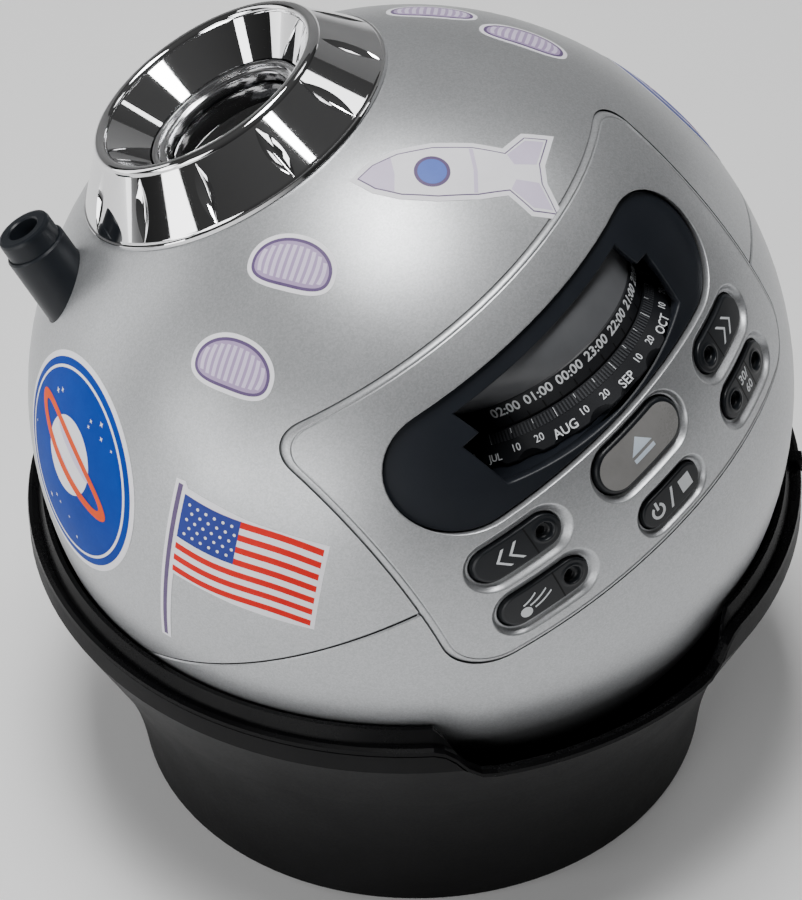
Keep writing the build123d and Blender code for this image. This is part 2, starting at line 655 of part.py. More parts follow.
def focus_ring():
    """The chromed ring round the lens: cone with finger grips outside, funnel inside."""
    under = PANEL_RADIUS + MOVE_GAP / 2
    foot_z = sqrt(under ** 2 - RING_FOOT_RADIUS ** 2)
    spigot_z = sqrt(under ** 2 - RING_SPIGOT_RADIUS ** 2)
    cone_foot = (RING_FOOT_RADIUS - 0.6, foot_z + RING_FOOT_BAND + 0.5)
    lip_width = RING_LIP_RADIUS - RING_LIP_INNER
    cone_top = (RING_LIP_RADIUS, RING_LIP_Z - lip_width / 2)
    outline = Polyline(
        (RING_LIP_INNER, RING_LIP_Z - lip_width / 2),
        (RING_BORE, RING_FUNNEL_Z),
        (RING_BORE, RING_BOTTOM_Z),
        (RING_SPIGOT_RADIUS, RING_BOTTOM_Z),
        (RING_SPIGOT_RADIUS, spigot_z),
        (RING_FOOT_RADIUS, foot_z),
        (RING_FOOT_RADIUS, foot_z + RING_FOOT_BAND),
        cone_foot,
        cone_top,
    )
    lip = ThreePointArc(cone_top, ((RING_LIP_RADIUS + RING_LIP_INNER) / 2, RING_LIP_Z), outline @ 0)
    ring = revolve(Plane.XZ * make_face(outline + lip), Axis.Z)
    hollow_top = RING_FUNNEL_Z - 1
    ring -= turned(
        [
            (RING_BORE + 2.2, RING_BOTTOM_Z - 1),
            (RING_BORE + 2.2, hollow_top - 3),
            (RING_LIP_INNER + 0.2, hollow_top + 3.5),
            (RING_SPIGOT_RADIUS - 2.2, hollow_top - 3),
            (RING_SPIGOT_RADIUS - 2.2, RING_BOTTOM_Z - 1),
        ]
    )
    run = cone_foot[0] - cone_top[0]
    rise = cone_top[1] - cone_foot[1]
    slant = degrees(asin(run / hypot(run, rise)))
    middle = Pos((cone_foot[0] + cone_top[0]) / 2, 0, (cone_foot[1] + cone_top[1]) / 2 - 0.3)
    for index in range(RING_GRIPS):
        turn = Rot(0, 0, 360.0 * (index + 0.5) / RING_GRIPS)
        ring -= turn * middle * Rot(0, -slant, 0) * grip_spindle(GRIP_LENGTH, GRIP_WIDTH)
    return ring


def lens_barrel():
    """The tube that carries the projection lenses."""
    barrel = tube(BARREL_RADIUS, BARREL_BORE, BARREL_BOTTOM_Z, BARREL_TOP_Z)
    return barrel + tube(BARREL_RADIUS, BARREL_BORE - 1.6, BARREL_TOP_Z - 9.5, BARREL_TOP_Z - 7.4)


def lens_retainer():
    """The screwed ring that holds the front lens: two steps down to the glass."""
    top = BARREL_TOP_Z + 1.2
    return turned(
        [
            (BARREL_RADIUS - 0.4, BARREL_TOP_Z + SEAT_GAP / 2),
            (BARREL_RADIUS - 0.4, top),
            (BARREL_RADIUS - 1.6, top),
            (BARREL_RADIUS - 1.6, top - 1.2),
            (BARREL_BORE - 1.0, top - 1.2),
            (BARREL_BORE - 1.0, top - 2.8),
            (BARREL_BORE - SEAT_GAP / 2, top - 2.8),
            (BARREL_BORE - SEAT_GAP / 2, BARREL_TOP_Z + SEAT_GAP / 2),
        ]
    )


def domed_lens(radius, bottom, edge, bulge):
    """A biconvex lens: two spherical faces and a cylindrical edge."""
    curve = (radius ** 2 + bulge ** 2) / (2 * bulge)
    middle = bottom + edge / 2
    upper = Pos(0, 0, middle + edge / 2 + bulge - curve) * Sphere(curve)
    lower = Pos(0, 0, middle - edge / 2 - bulge + curve) * Sphere(curve)
    return upper & lower & rod(radius, bottom - bulge, bottom + edge + bulge)


def front_lens():
    """The projection lens that shows in the chromed ring."""
    return domed_lens(BARREL_BORE - SEAT_GAP / 2, BARREL_TOP_Z - 6.9, 5.0, 1.6)


def rear_lens():
    """The lens at the inner end of the barrel."""
    return domed_lens(BARREL_BORE - SEAT_GAP / 2, BARREL_BOTTOM_Z + 3, 3.0, 1.8)


# ---------------------------------------------------------------- globe: meteor projector
def meteor_place():
    """The axis of the meteor tube."""
    return at_polar(TUBE_OFFSET, TUBE_ANGLE)


def meteor_tube():
    """The black tube beside the lens, a little narrower at its mouth."""
    shoulder = TUBE_TOP_Z - TUBE_TIP
    body = turned(
        [
            (TUBE_BORE, TUBE_BOTTOM_Z),
            (TUBE_RADIUS, TUBE_BOTTOM_Z),
            (TUBE_RADIUS, shoulder - 0.4),
            (TUBE_RADIUS - 0.3, shoulder),
            (TUBE_TIP_RADIUS, shoulder),
            (TUBE_TIP_RADIUS, TUBE_TOP_Z - 0.8),
            (TUBE_TIP_RADIUS - 0.2, TUBE_TOP_Z - 0.2),
            (TUBE_TIP_RADIUS - 0.8, TUBE_TOP_Z),
            (TUBE_BORE + 0.3, TUBE_TOP_Z),
            (TUBE_BORE, TUBE_TOP_Z - 0.3),
        ]
    )
    flange = (meteor_place() * tube(TUBE_RADIUS + 2.5, TUBE_BORE, 0, FAR)) & ball_wall(
        INNER_RADIUS - SEAT_GAP / 2, 2
    )
    return meteor_place() * body + flange


def meteor_lens():
    """The small lens inside the meteor tube."""
    return meteor_place() * domed_lens(TUBE_BORE, TUBE_TOP_Z - 11, 1.4, 0.7)


def meteor_lamp():
    """The lamp in the foot of the meteor tube."""
    bulb = rod(2.5, TUBE_BOTTOM_Z + 1, TUBE_BOTTOM_Z + 5) + Pos(0, 0, TUBE_BOTTOM_Z + 5) * Sphere(2.5)
    return meteor_place() * (bulb + rod(TUBE_BORE, TUBE_BOTTOM_Z, TUBE_BOTTOM_Z + 1.2))


# ---------------------------------------------------------------- globe: buttons
def button_cap(name):
    """A button: cap that follows the ball, retaining flange and stem."""
    x, z, half_length, half_height = BUTTONS[name]
    crown = BALL_RADIUS
    body = forward_prism(Pos(x, z) * stadium(half_length, half_height))
    cap = body & ball_wall(crown, BUTTON_DEPTH)
    wide = forward_prism(Pos(x, z) * stadium(half_length + BUTTON_FLANGE, half_height + BUTTON_FLANGE))
    flange_outer = PANEL_RADIUS - SHELL_WALL - MOVE_GAP
    cap += wide & ball_wall(flange_outer, flange_outer - crown + BUTTON_DEPTH)
    switch_face = -BOARD_Y + SWITCH_HEIGHT
    stem = Pos(x, 0, z) * Rot(90, 0, 0) * rod(STEM_RADIUS, switch_face + SWITCH_GAP, FAR)
    cap += stem & Sphere(crown - 1)
    depth = sqrt(crown ** 2 - x ** 2 - z ** 2)
    for shift in DIMPLES[name]:
        surface = sqrt(crown ** 2 - (x + shift) ** 2 - z ** 2)
        centre = Pos(x + shift, 0, z) * Rot(90, 0, 0)
        cap -= centre * rod(DIMPLE_RADIUS, surface - DIMPLE_DEPTH, FAR)
        cap -= centre * rod(DIMPLE_RADIUS * 0.45, min(surface, depth) - 3 * DIMPLE_DEPTH, FAR)
    return cap


def eject_button():
    """The large button: its stem goes on through the board to the latch."""
    x, z, _, _ = BUTTONS["eject_button"]
    cap = button_cap("eject_button")
    reach = -LATCH_PIVOT_Y + LATCH_BAR + SHUT_GAP
    stem = Pos(x, 0, z) * Rot(90, 0, 0) * rod(STEM_RADIUS, reach, BALL_RADIUS - BUTTON_DEPTH)
    return cap + stem


def board_stems():
    """The buttons that press a switch on the board."""
    return {name: place for name, place in BUTTONS.items() if name != "eject_button"}


def button_board():
    """The circuit board behind the panel, with a hole for the eject button's stem."""
    board = block(
        -BOARD_HALF_WIDTH, BOARD_HALF_WIDTH, BOARD_Y, BOARD_Y + BOARD_THICK, BOARD_BOTTOM_Z, BOARD_TOP_Z
    )
    x, z, _, _ = BUTTONS["eject_button"]
    return board - Pos(x, 0, z) * Rot(90, 0, 0) * rod(STEM_RADIUS + 2 * MOVE_GAP, 0, FAR)


def tact_switches():
    """The push switches on the board, one behind each button that makes a contact."""
    group = []
    for x, z, _, _ in board_stems().values():
        half = SWITCH_SIZE / 2
        body = block(x - half, x + half, BOARD_Y - SWITCH_HEIGHT + 1, BOARD_Y, z - half, z + half)
        key = Pos(x, 0, z) * Rot(90, 0, 0) * rod(STEM_RADIUS - 0.4, -BOARD_Y, -BOARD_Y + SWITCH_HEIGHT)
        group.append(body + key)
    return Compound(children=group)


def latch_axis():
    """The latch's pivot."""
    return Pos(0, LATCH_PIVOT_Y, LATCH_PIVOT_Z)


def drawer_latch():
    """The rocking lever: the eject stem pushes its upright arm, and its brake pad leaves the tray."""
    pad_top = TRAY_FLOOR_Z - SHUT_GAP
    _, stem_z, _, _ = BUTTONS["eject_button"]
    half = LATCH_HALF_WIDTH
    lever = block(
        -half, half, LATCH_PIVOT_Y - LATCH_BAR, LATCH_PIVOT_Y + LATCH_BAR, LATCH_PIVOT_Z, stem_z + STEM_RADIUS
    )
    lever += block(
        -half,
        half,
        LATCH_PIVOT_Y,
        LATCH_PAD_Y + LATCH_BAR,
        LATCH_PIVOT_Z - LATCH_BAR,
        LATCH_PIVOT_Z + LATCH_BAR,
    )
    lever += block(-half, half, LATCH_PAD_Y - LATCH_BAR, LATCH_PAD_Y + LATCH_BAR, LATCH_PIVOT_Z, pad_top)
    lever += latch_axis() * Rot(0, 90, 0) * rod(LATCH_PIN_RADIUS + 1.7, -half, half)
    return lever - latch_axis() * Rot(0, 90, 0) * rod(LATCH_PIN_RADIUS + RUN_FIT, -FAR, FAR)


def latch_pin():
    """The pin that the latch rocks on."""
    reach = LATCH_HALF_WIDTH + MOVE_GAP + EAR_THICK
    return latch_axis() * Rot(0, 90, 0) * rod(LATCH_PIN_RADIUS, -reach, reach)


# ---------------------------------------------------------------- globe: power
def battery_box():
    """The tray under the deck that holds the cells, open towards the battery cover."""
    half_x = BATTERY_LENGTH / 2 + BOX_WALL + SHUT_GAP
    half_y = BATTERY_COUNT * BATTERY_PITCH / 2 + BOX_WALL
    top = BATTERY_Z + BATTERY_RADIUS + BOX_WALL + SHUT_GAP
    box = block(-half_x, half_x, -half_y, half_y, -BALL_RADIUS, top)
    box -= block(
        -half_x + BOX_WALL, half_x - BOX_WALL, -half_y + BOX_WALL, half_y - BOX_WALL, -FAR, top - BOX_WALL
    )
    return box & Sphere(INNER_RADIUS - SEAT_GAP)


def batteries():
    """The round cells, side by side."""
    cells = []
    for index in range(BATTERY_COUNT):
        y = (index - (BATTERY_COUNT - 1) / 2) * BATTERY_PITCH
        can = rod(BATTERY_RADIUS, -BATTERY_LENGTH / 2, BATTERY_LENGTH / 2 - 1.5)
        nib = rod(2.6, BATTERY_LENGTH / 2 - 1.5, BATTERY_LENGTH / 2)
        turn = Rot(0, 90 if index % 2 else -90, 0)
        cells.append(Pos(0, y, BATTERY_Z) * turn * (can + nib))
    return Compound(children=cells)


def power_socket():
    """The inlet for the mains adapter, at the back of the upper shell."""
    face = BALL_RADIUS - 0.4
    barrel = rod(SOCKET_RADIUS, face - SOCKET_BODY, face)
    flange = rod(SOCKET_RADIUS + 2, 0, FAR) & ball_wall(INNER_RADIUS - SEAT_GAP / 2, 2)
    socket = barrel + flange
    socket -= rod(SOCKET_BORE, face - SOCKET_DEPTH, FAR)
    socket += rod(SOCKET_PIN, face - SOCKET_DEPTH - 1, face - 1)
    return socket_frame() * socket


def shell_screws():
    """The four screws that go up through the lower shell."""
    screws = []
    for place in boss_places():
        head = rod(SCREW_HEAD_RADIUS, SCREW_SEAT_Z - SCREW_HEAD, SCREW_SEAT_Z)
        shank = rod(SCREW_RADIUS - SEAT_GAP / 2, SCREW_SEAT_Z, SCREW_SEAT_Z + SCREW_LENGTH)
        socket = rod(1.1, SCREW_SEAT_Z - SCREW_HEAD - 1, SCREW_SEAT_Z - 1)
        screws.append(place * (head + shank - socket))
    return Compound(children=screws)


# ---------------------------------------------------------------- base
def bowl_profile():
    """Half section of the bowl: flared wall outside, dish for the ball inside."""
    foot = (BASE_FOOT_RADIUS, BASE_LIFT)
    flare = (FLARE_RADIUS, FLARE_Z)
    full = (RIM_RADIUS, RIM_FULL_Z)
    split = (RIM_RADIUS - 0.3, RIM_SPLIT_Z)
    slope = (flare[0] - full[0], flare[1] - full[1])
    wall = TangentArc(flare, foot, tangent=slope)
    under = DISH_RADIUS + DISH_WALL
    join_radius = FLARE_RADIUS - 1.6 * BOWL_WALL
    join = (join_radius, BALL_HEIGHT - sqrt(under ** 2 - join_radius ** 2))
    ledge_z = join[1] + DISH_LEDGE
    edge = Polyline(
        flare,
        full,
        split,
        (split[0] - BOWL_WALL, RIM_SPLIT_Z),
        (full[0] - BOWL_WALL, RIM_FULL_Z - 1.0),
        (FLARE_RADIUS - BOWL_WALL + 1.4, ledge_z),
        (sqrt(DISH_RADIUS ** 2 - (BALL_HEIGHT - ledge_z) ** 2), ledge_z),
    )
    diag = radians(22)
    dish = ThreePointArc(
        edge @ 1,
        (DISH_RADIUS * sin(diag), BALL_HEIGHT - DISH_RADIUS * cos(diag)),
        (0, BALL_HEIGHT - DISH_RADIUS),
    )
    middle = Line(dish @ 1, (0, BALL_HEIGHT - under))
    belly = ThreePointArc(
        middle @ 1, (under * sin(diag), BALL_HEIGHT - under * cos(diag)), join
    )
    skirt = TangentArc(join, (BASE_FOOT_RADIUS - BOWL_WALL, BASE_LIFT), tangent=slope)
    return make_face(wall + edge + dish + middle + belly + skirt + Line(skirt @ 1, foot))


def rim_section(drop, collar):
    """Corners of the rim ring's section, lowered by drop, with the collar faded out by its share."""
    split = RIM_SPLIT_Z - drop
    inner = RIM_RADIUS - 0.3 - BOWL_WALL
    tip = sqrt((BALL_RADIUS + BALL_CLEARANCE) ** 2 - (BALL_HEIGHT - RIM_TOP_Z) ** 2)
    groove = RIM_RADIUS - 2.2
    plain = [
        (groove - 0.2, split + 1.5),
        (inner, split + 1.1),
        (inner - 0.1, split + 0.7),
        (inner, split + 0.3),
    ]
    collared = [
        (tip + 1.2, RIM_TOP_Z - drop),
        (tip + 0.2, RIM_TOP_Z - drop),
        (tip, RIM_TOP_Z - drop - 0.8),
        (inner - 0.2, split - 0.8),
    ]
    lip = [
        (inner - 0.05, split + SEAT_GAP),
        (RIM_RADIUS - 0.5, split + SEAT_GAP),
        (RIM_RADIUS, split + 0.6),
        (RIM_RADIUS - 0.2, split + 1.4),
        (RIM_RADIUS - 1.0, split + 1.9),
        (groove, split + 1.7),
    ]
    blend = [
        (p[0] * (1 - collar) + q[0] * collar, p[1] * (1 - collar) + q[1] * collar)
        for p, q in zip(plain, collared)
    ]
    return lip + blend


def above_rim(drop):
    """Corners of what the front dip takes off the bowl."""
    return [
        (RIM_RADIUS - SCOOP_REACH, RIM_SPLIT_Z - drop),
        (RIM_RADIUS + 5, RIM_SPLIT_Z - drop),
        (RIM_RADIUS + 5, BALL_HEIGHT),
        (RIM_RADIUS - SCOOP_REACH, BALL_HEIGHT),
    ]


def section_face(corners, angle):
    """A section's face, standing at an angle from -Y towards +X."""
    return Rot(0, 0, angle - 90) * (Plane.XZ * make_face(Polyline(*corners, close=True)))


def front_sweep(section):
    """A body that follows the rim across the front dip: level in the middle, stepped at the ends."""
    last = SCOOP_STEPS[-1][0]
    sections = [(angle, section(drop * SCOOP_DROP, collar)) for angle, drop, collar in SCOOP_STEPS]
    body = revolve(section_face(sections[-1][1], -last), Axis.Z, 2 * last)
    for side in (-1, 1):
        for (angle, outer), (nearer, inner) in zip(sections, sections[1:]):
            faces = [section_face(outer, side * angle), section_face(inner, side * nearer)]
            body += loft(faces, ruled=True)
    return body


def base_bowl():
    """The matte outer bowl with the dish that the ball rests over."""
    bowl = revolve(Plane.XZ * bowl_profile(), Axis.Z)
    for index in range(FOOT_COUNT):
        place = at_polar(BASE_BOSS_CIRCLE, 90.0 * index)
        boss = place * rod(BASE_BOSS_RADIUS, PLATE_Z + PLATE_THICK, BALL_HEIGHT)
        bowl += boss - Pos(0, 0, BALL_HEIGHT) * Sphere(DISH_RADIUS + DISH_WALL / 2)
        bowl -= place * rod(SCREW_RADIUS, 0, PLATE_Z + PLATE_THICK + BASE_SCREW_LENGTH)
    return bowl - front_sweep(lambda drop, collar: above_rim(drop))


def rim_ring():
    """The satin rim ring: a collar round the ball that dips to a plain lip at the front."""
    start = SCOOP_STEPS[0][0]
    ring = revolve(section_face(rim_section(0, 1), start), Axis.Z, 360 - 2 * start)
    ring += front_sweep(rim_section)
    half = NUB_WIDTH / 2
    nub = block(-half, half, -RIM_RADIUS - 0.2, -RIM_RADIUS + 3, RIM_SPLIT_Z + 0.5, RIM_TOP_Z - 1.2)
    return ring + Rot(0, 0, NUB_ANGLE) * nub


def base_plate():
    """The round plate that closes the base from below."""
    radius = BASE_FOOT_RADIUS - BOWL_WALL - SHUT_GAP
    plate = rod(radius, PLATE_Z, PLATE_Z + PLATE_THICK)
    for index in range(FOOT_COUNT):
        at_screw = at_polar(BASE_BOSS_CIRCLE, 90.0 * index)
        plate -= at_screw * rod(SCREW_RADIUS + SEAT_GAP, 0, FAR)
    return plate


def base_screws():
    """The screws that hold the plate to the bowl."""
    screws = []
    for index in range(FOOT_COUNT):
        shank = rod(SCREW_RADIUS - SEAT_GAP / 2, PLATE_Z, PLATE_Z + PLATE_THICK + BASE_SCREW_LENGTH - 1)
        head = rod(SCREW_HEAD_RADIUS, PLATE_Z - 1.2, PLATE_Z)
        screws.append(at_polar(BASE_BOSS_CIRCLE, 90.0 * index) * (head + shank))
    return Compound(children=screws)


def rubber_feet():
    """The pads that the base stands on."""
    feet = []
    for index in range(FOOT_COUNT):
        feet.append(at_polar(FOOT_CIRCLE, 90.0 * index + 45) * rod(FOOT_RADIUS, 0, PLATE_Z))
    return Compound(children=feet)


def seat_pads():
    """The soft pads in the dish that carry the ball."""
    pads = []
    for index in range(PAD_COUNT):
        column = rod(PAD_RADIUS, -BALL_RADIUS * 1.2, -BALL_RADIUS * 0.8)
        turn = Rot(0, 0, 360.0 * (index + 0.5) / PAD_COUNT) * Rot(PAD_POLAR, 0, 0)
        shell = ball_wall(DISH_RADIUS, DISH_RADIUS - BALL_RADIUS - PAD_GAP)
        pads.append(Pos(0, 0, BALL_HEIGHT) * ((turn * column) & shell))
    return Compound(children=pads)


# ---------------------------------------------------------------- build
GLOBE_PARTS = {
    "upper_shell": upper_shell,
    "lower_shell": lower_shell,
    "battery_cover": battery_cover,
    "control_panel": control_panel,
    "drawer_front": drawer_front,
    "disc_tray": disc_tray,
    "hour_scale": hour_scale,
    "date_dial": date_dial,
    "disc_carrier": disc_carrier,
    "star_disc": star_disc,
    "drive_pinion": drive_pinion,
    "drive_motor": drive_motor,
    "chassis": chassis,
    "condenser_lens": condenser_lens,
    "lamp_board": lamp_board,
    "star_lamp": star_lamp,
    "heat_sink": heat_sink,
    "lens_guide": lens_guide,
    "focus_ring": focus_ring,
    "lens_barrel": lens_barrel,
    "lens_retainer": lens_retainer,
    "front_lens": front_lens,
    "rear_lens": rear_lens,
    "meteor_tube": meteor_tube,
    "meteor_lens": meteor_lens,
    "meteor_lamp": meteor_lamp,
    "eject_button": eject_button,
    "button_board": button_board,
    "tact_switches": tact_switches,
    "drawer_latch": drawer_latch,
    "latch_pin": latch_pin,
    "battery_box": battery_box,
    "batteries": batteries,
    "power_socket": power_socket,
    "shell_screws": shell_screws,
}
BASE_PARTS = {
    "base_bowl": base_bowl,
    "rim_ring": rim_ring,
    "base_plate": base_plate,
    "base_screws": base_screws,
    "rubber_feet": rubber_feet,
    "seat_pads": seat_pads,
}


def main():
    os.makedirs("parts", exist_ok=True)
    for name, make in GLOBE_PARTS.items():
        export_step(GLOBE_AT * make(), f"parts/{name}.step")
    for name in board_stems():
        export_step(GLOBE_AT * button_cap(name), f"parts/{name}.step")
    for name, make in BASE_PARTS.items():
        export_step(make(), f"parts/{name}.step")


main()
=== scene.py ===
"""Looks of the planetarium projector: its visible pieces, finishes and studio.

Sizes in this script are millimetres, as in the CAD source, and shapes are drawn in the ball's own
frame: the lens axis is Z, and the control panel lies towards -Y. `in_metres` puts them in place.
"""

import json
import logging
from dataclasses import dataclass
from enum import Enum
from typing import Callable, ClassVar, Iterable, Optional, Sequence

import bpy
import numpy as np
from mathutils import Matrix, Vector
from mathutils.geometry import delaunay_2d_cdt

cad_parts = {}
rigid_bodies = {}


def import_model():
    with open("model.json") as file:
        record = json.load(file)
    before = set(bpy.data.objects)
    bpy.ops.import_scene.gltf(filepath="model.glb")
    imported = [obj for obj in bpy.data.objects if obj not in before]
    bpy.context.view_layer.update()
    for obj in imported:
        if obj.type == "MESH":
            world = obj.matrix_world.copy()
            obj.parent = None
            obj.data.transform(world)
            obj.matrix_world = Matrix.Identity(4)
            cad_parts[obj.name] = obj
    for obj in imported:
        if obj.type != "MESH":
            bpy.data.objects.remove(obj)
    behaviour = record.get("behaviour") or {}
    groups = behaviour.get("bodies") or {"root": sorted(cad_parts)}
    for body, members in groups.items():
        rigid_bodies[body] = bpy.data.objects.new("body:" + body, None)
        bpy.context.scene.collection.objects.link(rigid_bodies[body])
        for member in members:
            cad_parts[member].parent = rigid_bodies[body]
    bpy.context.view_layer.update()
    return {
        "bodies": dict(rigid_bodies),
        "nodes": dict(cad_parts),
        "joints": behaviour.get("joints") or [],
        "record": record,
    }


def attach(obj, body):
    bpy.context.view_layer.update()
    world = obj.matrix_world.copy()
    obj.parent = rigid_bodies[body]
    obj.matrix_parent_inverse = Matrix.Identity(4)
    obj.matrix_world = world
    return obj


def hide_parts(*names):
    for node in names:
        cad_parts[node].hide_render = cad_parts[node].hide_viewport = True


log = logging.getLogger("projector")
MM = 0.001
TINY = 1e-9                         # keeps a division away from nought
BALL_RADIUS = 80.0
BALL_HEIGHT = 92.0                  # the ball's centre above the table
LEAN_HEADING = 47.5                 # degrees: heading, lean and spin of the lens axis
LENS_LEAN = -28.9
PANEL_SPIN = -32.9
DRAWER = (0.0, 22.0, 43.0, 12.6)    # the drawer front's middle x and z, half length and half height
DIAL_AXIS = (6.216, -46.587)        # x and y of the axis of the hour drum and the date dial


# ================================================================ frames and plain geometry
BALL_AT = (
    Matrix.Translation((0, 0, BALL_HEIGHT))
    @ Matrix.Rotation(np.radians(LEAN_HEADING), 4, "Z")
    @ Matrix.Rotation(np.radians(LENS_LEAN), 4, "X")
    @ Matrix.Rotation(np.radians(PANEL_SPIN), 4, "Z")
)


def in_metres(points: np.ndarray) -> np.ndarray:
    """Turns millimetres in the ball's frame into metres in the scene.

    A point p goes to R p + c, with the ball's rotation R and its centre c.

    Args:
        points: (n, 3) array.

    Returns:
        (n, 3) array in metres.
    """
    return (points @ np.array(BALL_AT.to_3x3()).T + np.array(BALL_AT.translation)) * MM


@dataclass
class Shape:
    """Points in millimetres with the faces between them.

    It may hold exact normals, one a point, and marks, the number of each face's finish.
    """

    points: np.ndarray
    faces: list
    normals: Optional[np.ndarray] = None
    marks: Optional[np.ndarray] = None

    @classmethod
    def join(cls, shapes: Sequence["Shape"]) -> "Shape":
        """Puts several shapes into one.

        Args:
            shapes: the shapes, whose normals and marks are kept.

        Returns:
            The joined shape.
        """
        start, points, faces, normals, marks = 0, [], [], [], []
        for shape in shapes:
            points.append(shape.points)
            faces.extend([tuple(int(i) + start for i in face) for face in shape.faces])
            normals.append(np.zeros_like(shape.points) if shape.normals is None else shape.normals)
            marks.append(np.zeros(len(shape.faces), int) if shape.marks is None else shape.marks)
            start += len(shape.points)
        return cls(np.concatenate(points), faces, np.concatenate(normals), np.concatenate(marks))

    def marked(self, number: int) -> "Shape":
        """Gives every face one finish number."""
        self.marks = np.full(len(self.faces), number)
        return self


def quads(rows: int, cols: int, wrap: bool) -> np.ndarray:
    """Faces of a grid whose point in row i and column j has the number i * cols + j.

    Args:
        rows: number of rows of points.
        cols: number of points in a row.
        wrap: whether the last column joins the first.

    Returns:
        (n, 4) array of four-point faces.
    """
    across = np.arange(cols if wrap else cols - 1)
    i, j = np.meshgrid(np.arange(rows - 1), across, indexing="ij")
    k = (j + 1) % cols
    corners = [i * cols + j, i * cols + k, (i + 1) * cols + k, (i + 1) * cols + j]
    return np.stack(corners, -1).reshape(-1, 4)


def lathe(profile: Sequence, steps: int, ripple: Optional[Callable] = None) -> Shape:
    """A closed solid of revolution about the Z axis.

    The profile's point (r, z) at the angle a lies at (r sin a, -r cos a, z).

    Args:
        profile: (radius, height) corners in order, with the outside faces to the left of the walk
            upwards; it is closed back to its start.
        steps: points round it.
        ripple: optional function of (angle, radius, height) arrays that returns the three anew.

    Returns:
        The shape; where the profile touches the axis, its ring of points lies in one place.
    """
    corners = np.array(list(profile) + [profile[0]], float)
    angle = np.linspace(0, 2 * np.pi, steps, endpoint=False)
    radius = np.repeat(corners[:, :1], steps, 1)
    height = np.repeat(corners[:, 1:], steps, 1)
    turn = np.repeat(angle[None], len(corners), 0)
    if ripple:
        turn, radius, height = ripple(turn, radius, height)
    points = np.stack([radius * np.sin(turn), -radius * np.cos(turn), height], -1)
    keep = points[:-1].reshape(-1, 3)
    faces = quads(len(corners), steps, True)
    faces = np.where(faces >= len(keep), faces - len(keep), faces)
    return Shape(keep, faces.tolist())


def arc(centre: tuple, radius: float, start: float, end: float, count: int) -> list:
    """Points on an arc of a flat outline.

    Args:
        centre: its centre.
        radius: its radius.
        start: first angle in degrees.
        end: last angle in degrees.
        count: number of points.

    Returns:
        A list of (u, v) tuples.
    """
    angle = np.radians(np.linspace(start, end, count))
    return list(zip(centre[0] + radius * np.cos(angle), centre[1] + radius * np.sin(angle)))


# ================================================================ outlines
@dataclass(frozen=True)
class Outline:
    """A closed flat outline, walked against the clock, that can be drawn at an offset."""

    MITRE: ClassVar[float] = 0.35

    corners: tuple

    def loop(self, offset: float = 0.0) -> np.ndarray:
        """The outline moved outwards along the mean normals of its sides.

        With the unit normals m and n of a corner's two sides, it moves by (m + n) / (|m + n|^2 / 2)
        times the offset, and no more than 1 / MITRE times |m + n|.

        Args:
            offset: distance outwards, or inwards where negative.

        Returns:
            (n, 2) array with as many points as the outline has.
        """
        points = np.array(self.corners, float)
        ahead = np.roll(points, -1, 0) - points
        ahead /= np.maximum(np.linalg.norm(ahead, axis=1), TINY)[:, None]
        behind = np.roll(ahead, 1, 0)
        normal = np.stack([ahead[:, 1] + behind[:, 1], -ahead[:, 0] - behind[:, 0]], 1)
        reach = np.maximum((normal**2).sum(1) / 2, self.MITRE)
        return points + normal / reach[:, None] * offset

    @staticmethod
    def stadium(x: float, z: float, half_length: float, half_height: float, count: int = 24) -> "Outline":
        """Two parallel sides and two round ends.

        Args:
            x: its middle, across.
            z: its middle, upwards.
            half_length: half of its length over the ends.
            half_height: half of its height, and the ends' radius.
            count: points on each end.

        Returns:
            The outline.
        """
        run = half_length - half_height
        right = arc((x + run, z), half_height, -90, 90, count)
        left = arc((x - run, z), half_height, 90, 270, count)
        between = np.linspace(run, -run, 14)[1:-1]
        top = [(x + s, z + half_height) for s in between]
        low = [(x - s, z - half_height) for s in between]
        return Outline(tuple(right + top + left + low))

    @staticmethod
    def rounded(side: float, bottom: float, top: float, low_corner: float, top_corner: float) -> "Outline":
        """A rectangle about x = 0 with round corners.

        Args:
            side: half of its width.
            bottom: its lower edge.
            top: its upper edge.
            low_corner: radius of the lower corners.
            top_corner: radius of the upper corners.

        Returns:
            The outline.
        """
        parts = [
            arc((side - low_corner, bottom + low_corner), low_corner, -90, 0, 12),
            arc((side - top_corner, top - top_corner), top_corner, 0, 90, 12),
            arc((top_corner - side, top - top_corner), top_corner, 90, 180, 12),
            arc((low_corner - side, bottom + low_corner), low_corner, 180, 270, 12),
        ]
        points: list = []
        for index, part in enumerate(parts):
            points += part
            a, b = np.array(part[-1]), np.array(parts[(index + 1) % 4][0])
            points += [tuple(a + (b - a) * t) for t in np.linspace(0, 1, 22)[1:-1]]
        return Outline(tuple(points))

    @staticmethod
    def disc(x: float, z: float, radius: float, count: int) -> "Outline":
        """A circle of so many points."""
        return Outline(tuple(arc((x, z), radius, 0, 360 * (1 - 1 / count), count)))

    @staticmethod
    def through(points: Sequence, step: float) -> "Outline":
        """Straight sides between corners, with points evenly along each.

        Args:
            points: the corners.
            step: longest distance between points.

        Returns:
            The outline.
        """
        out: list = []
        for a, b in zip(points, list(points[1:]) + [points[0]]):
            a, b = np.array(a, float), np.array(b, float)
            count = max(1, int(np.ceil(np.linalg.norm(b - a) / step)))
            out += [tuple(a + (b - a) * t / count) for t in range(count)]
        return Outline(tuple(out))


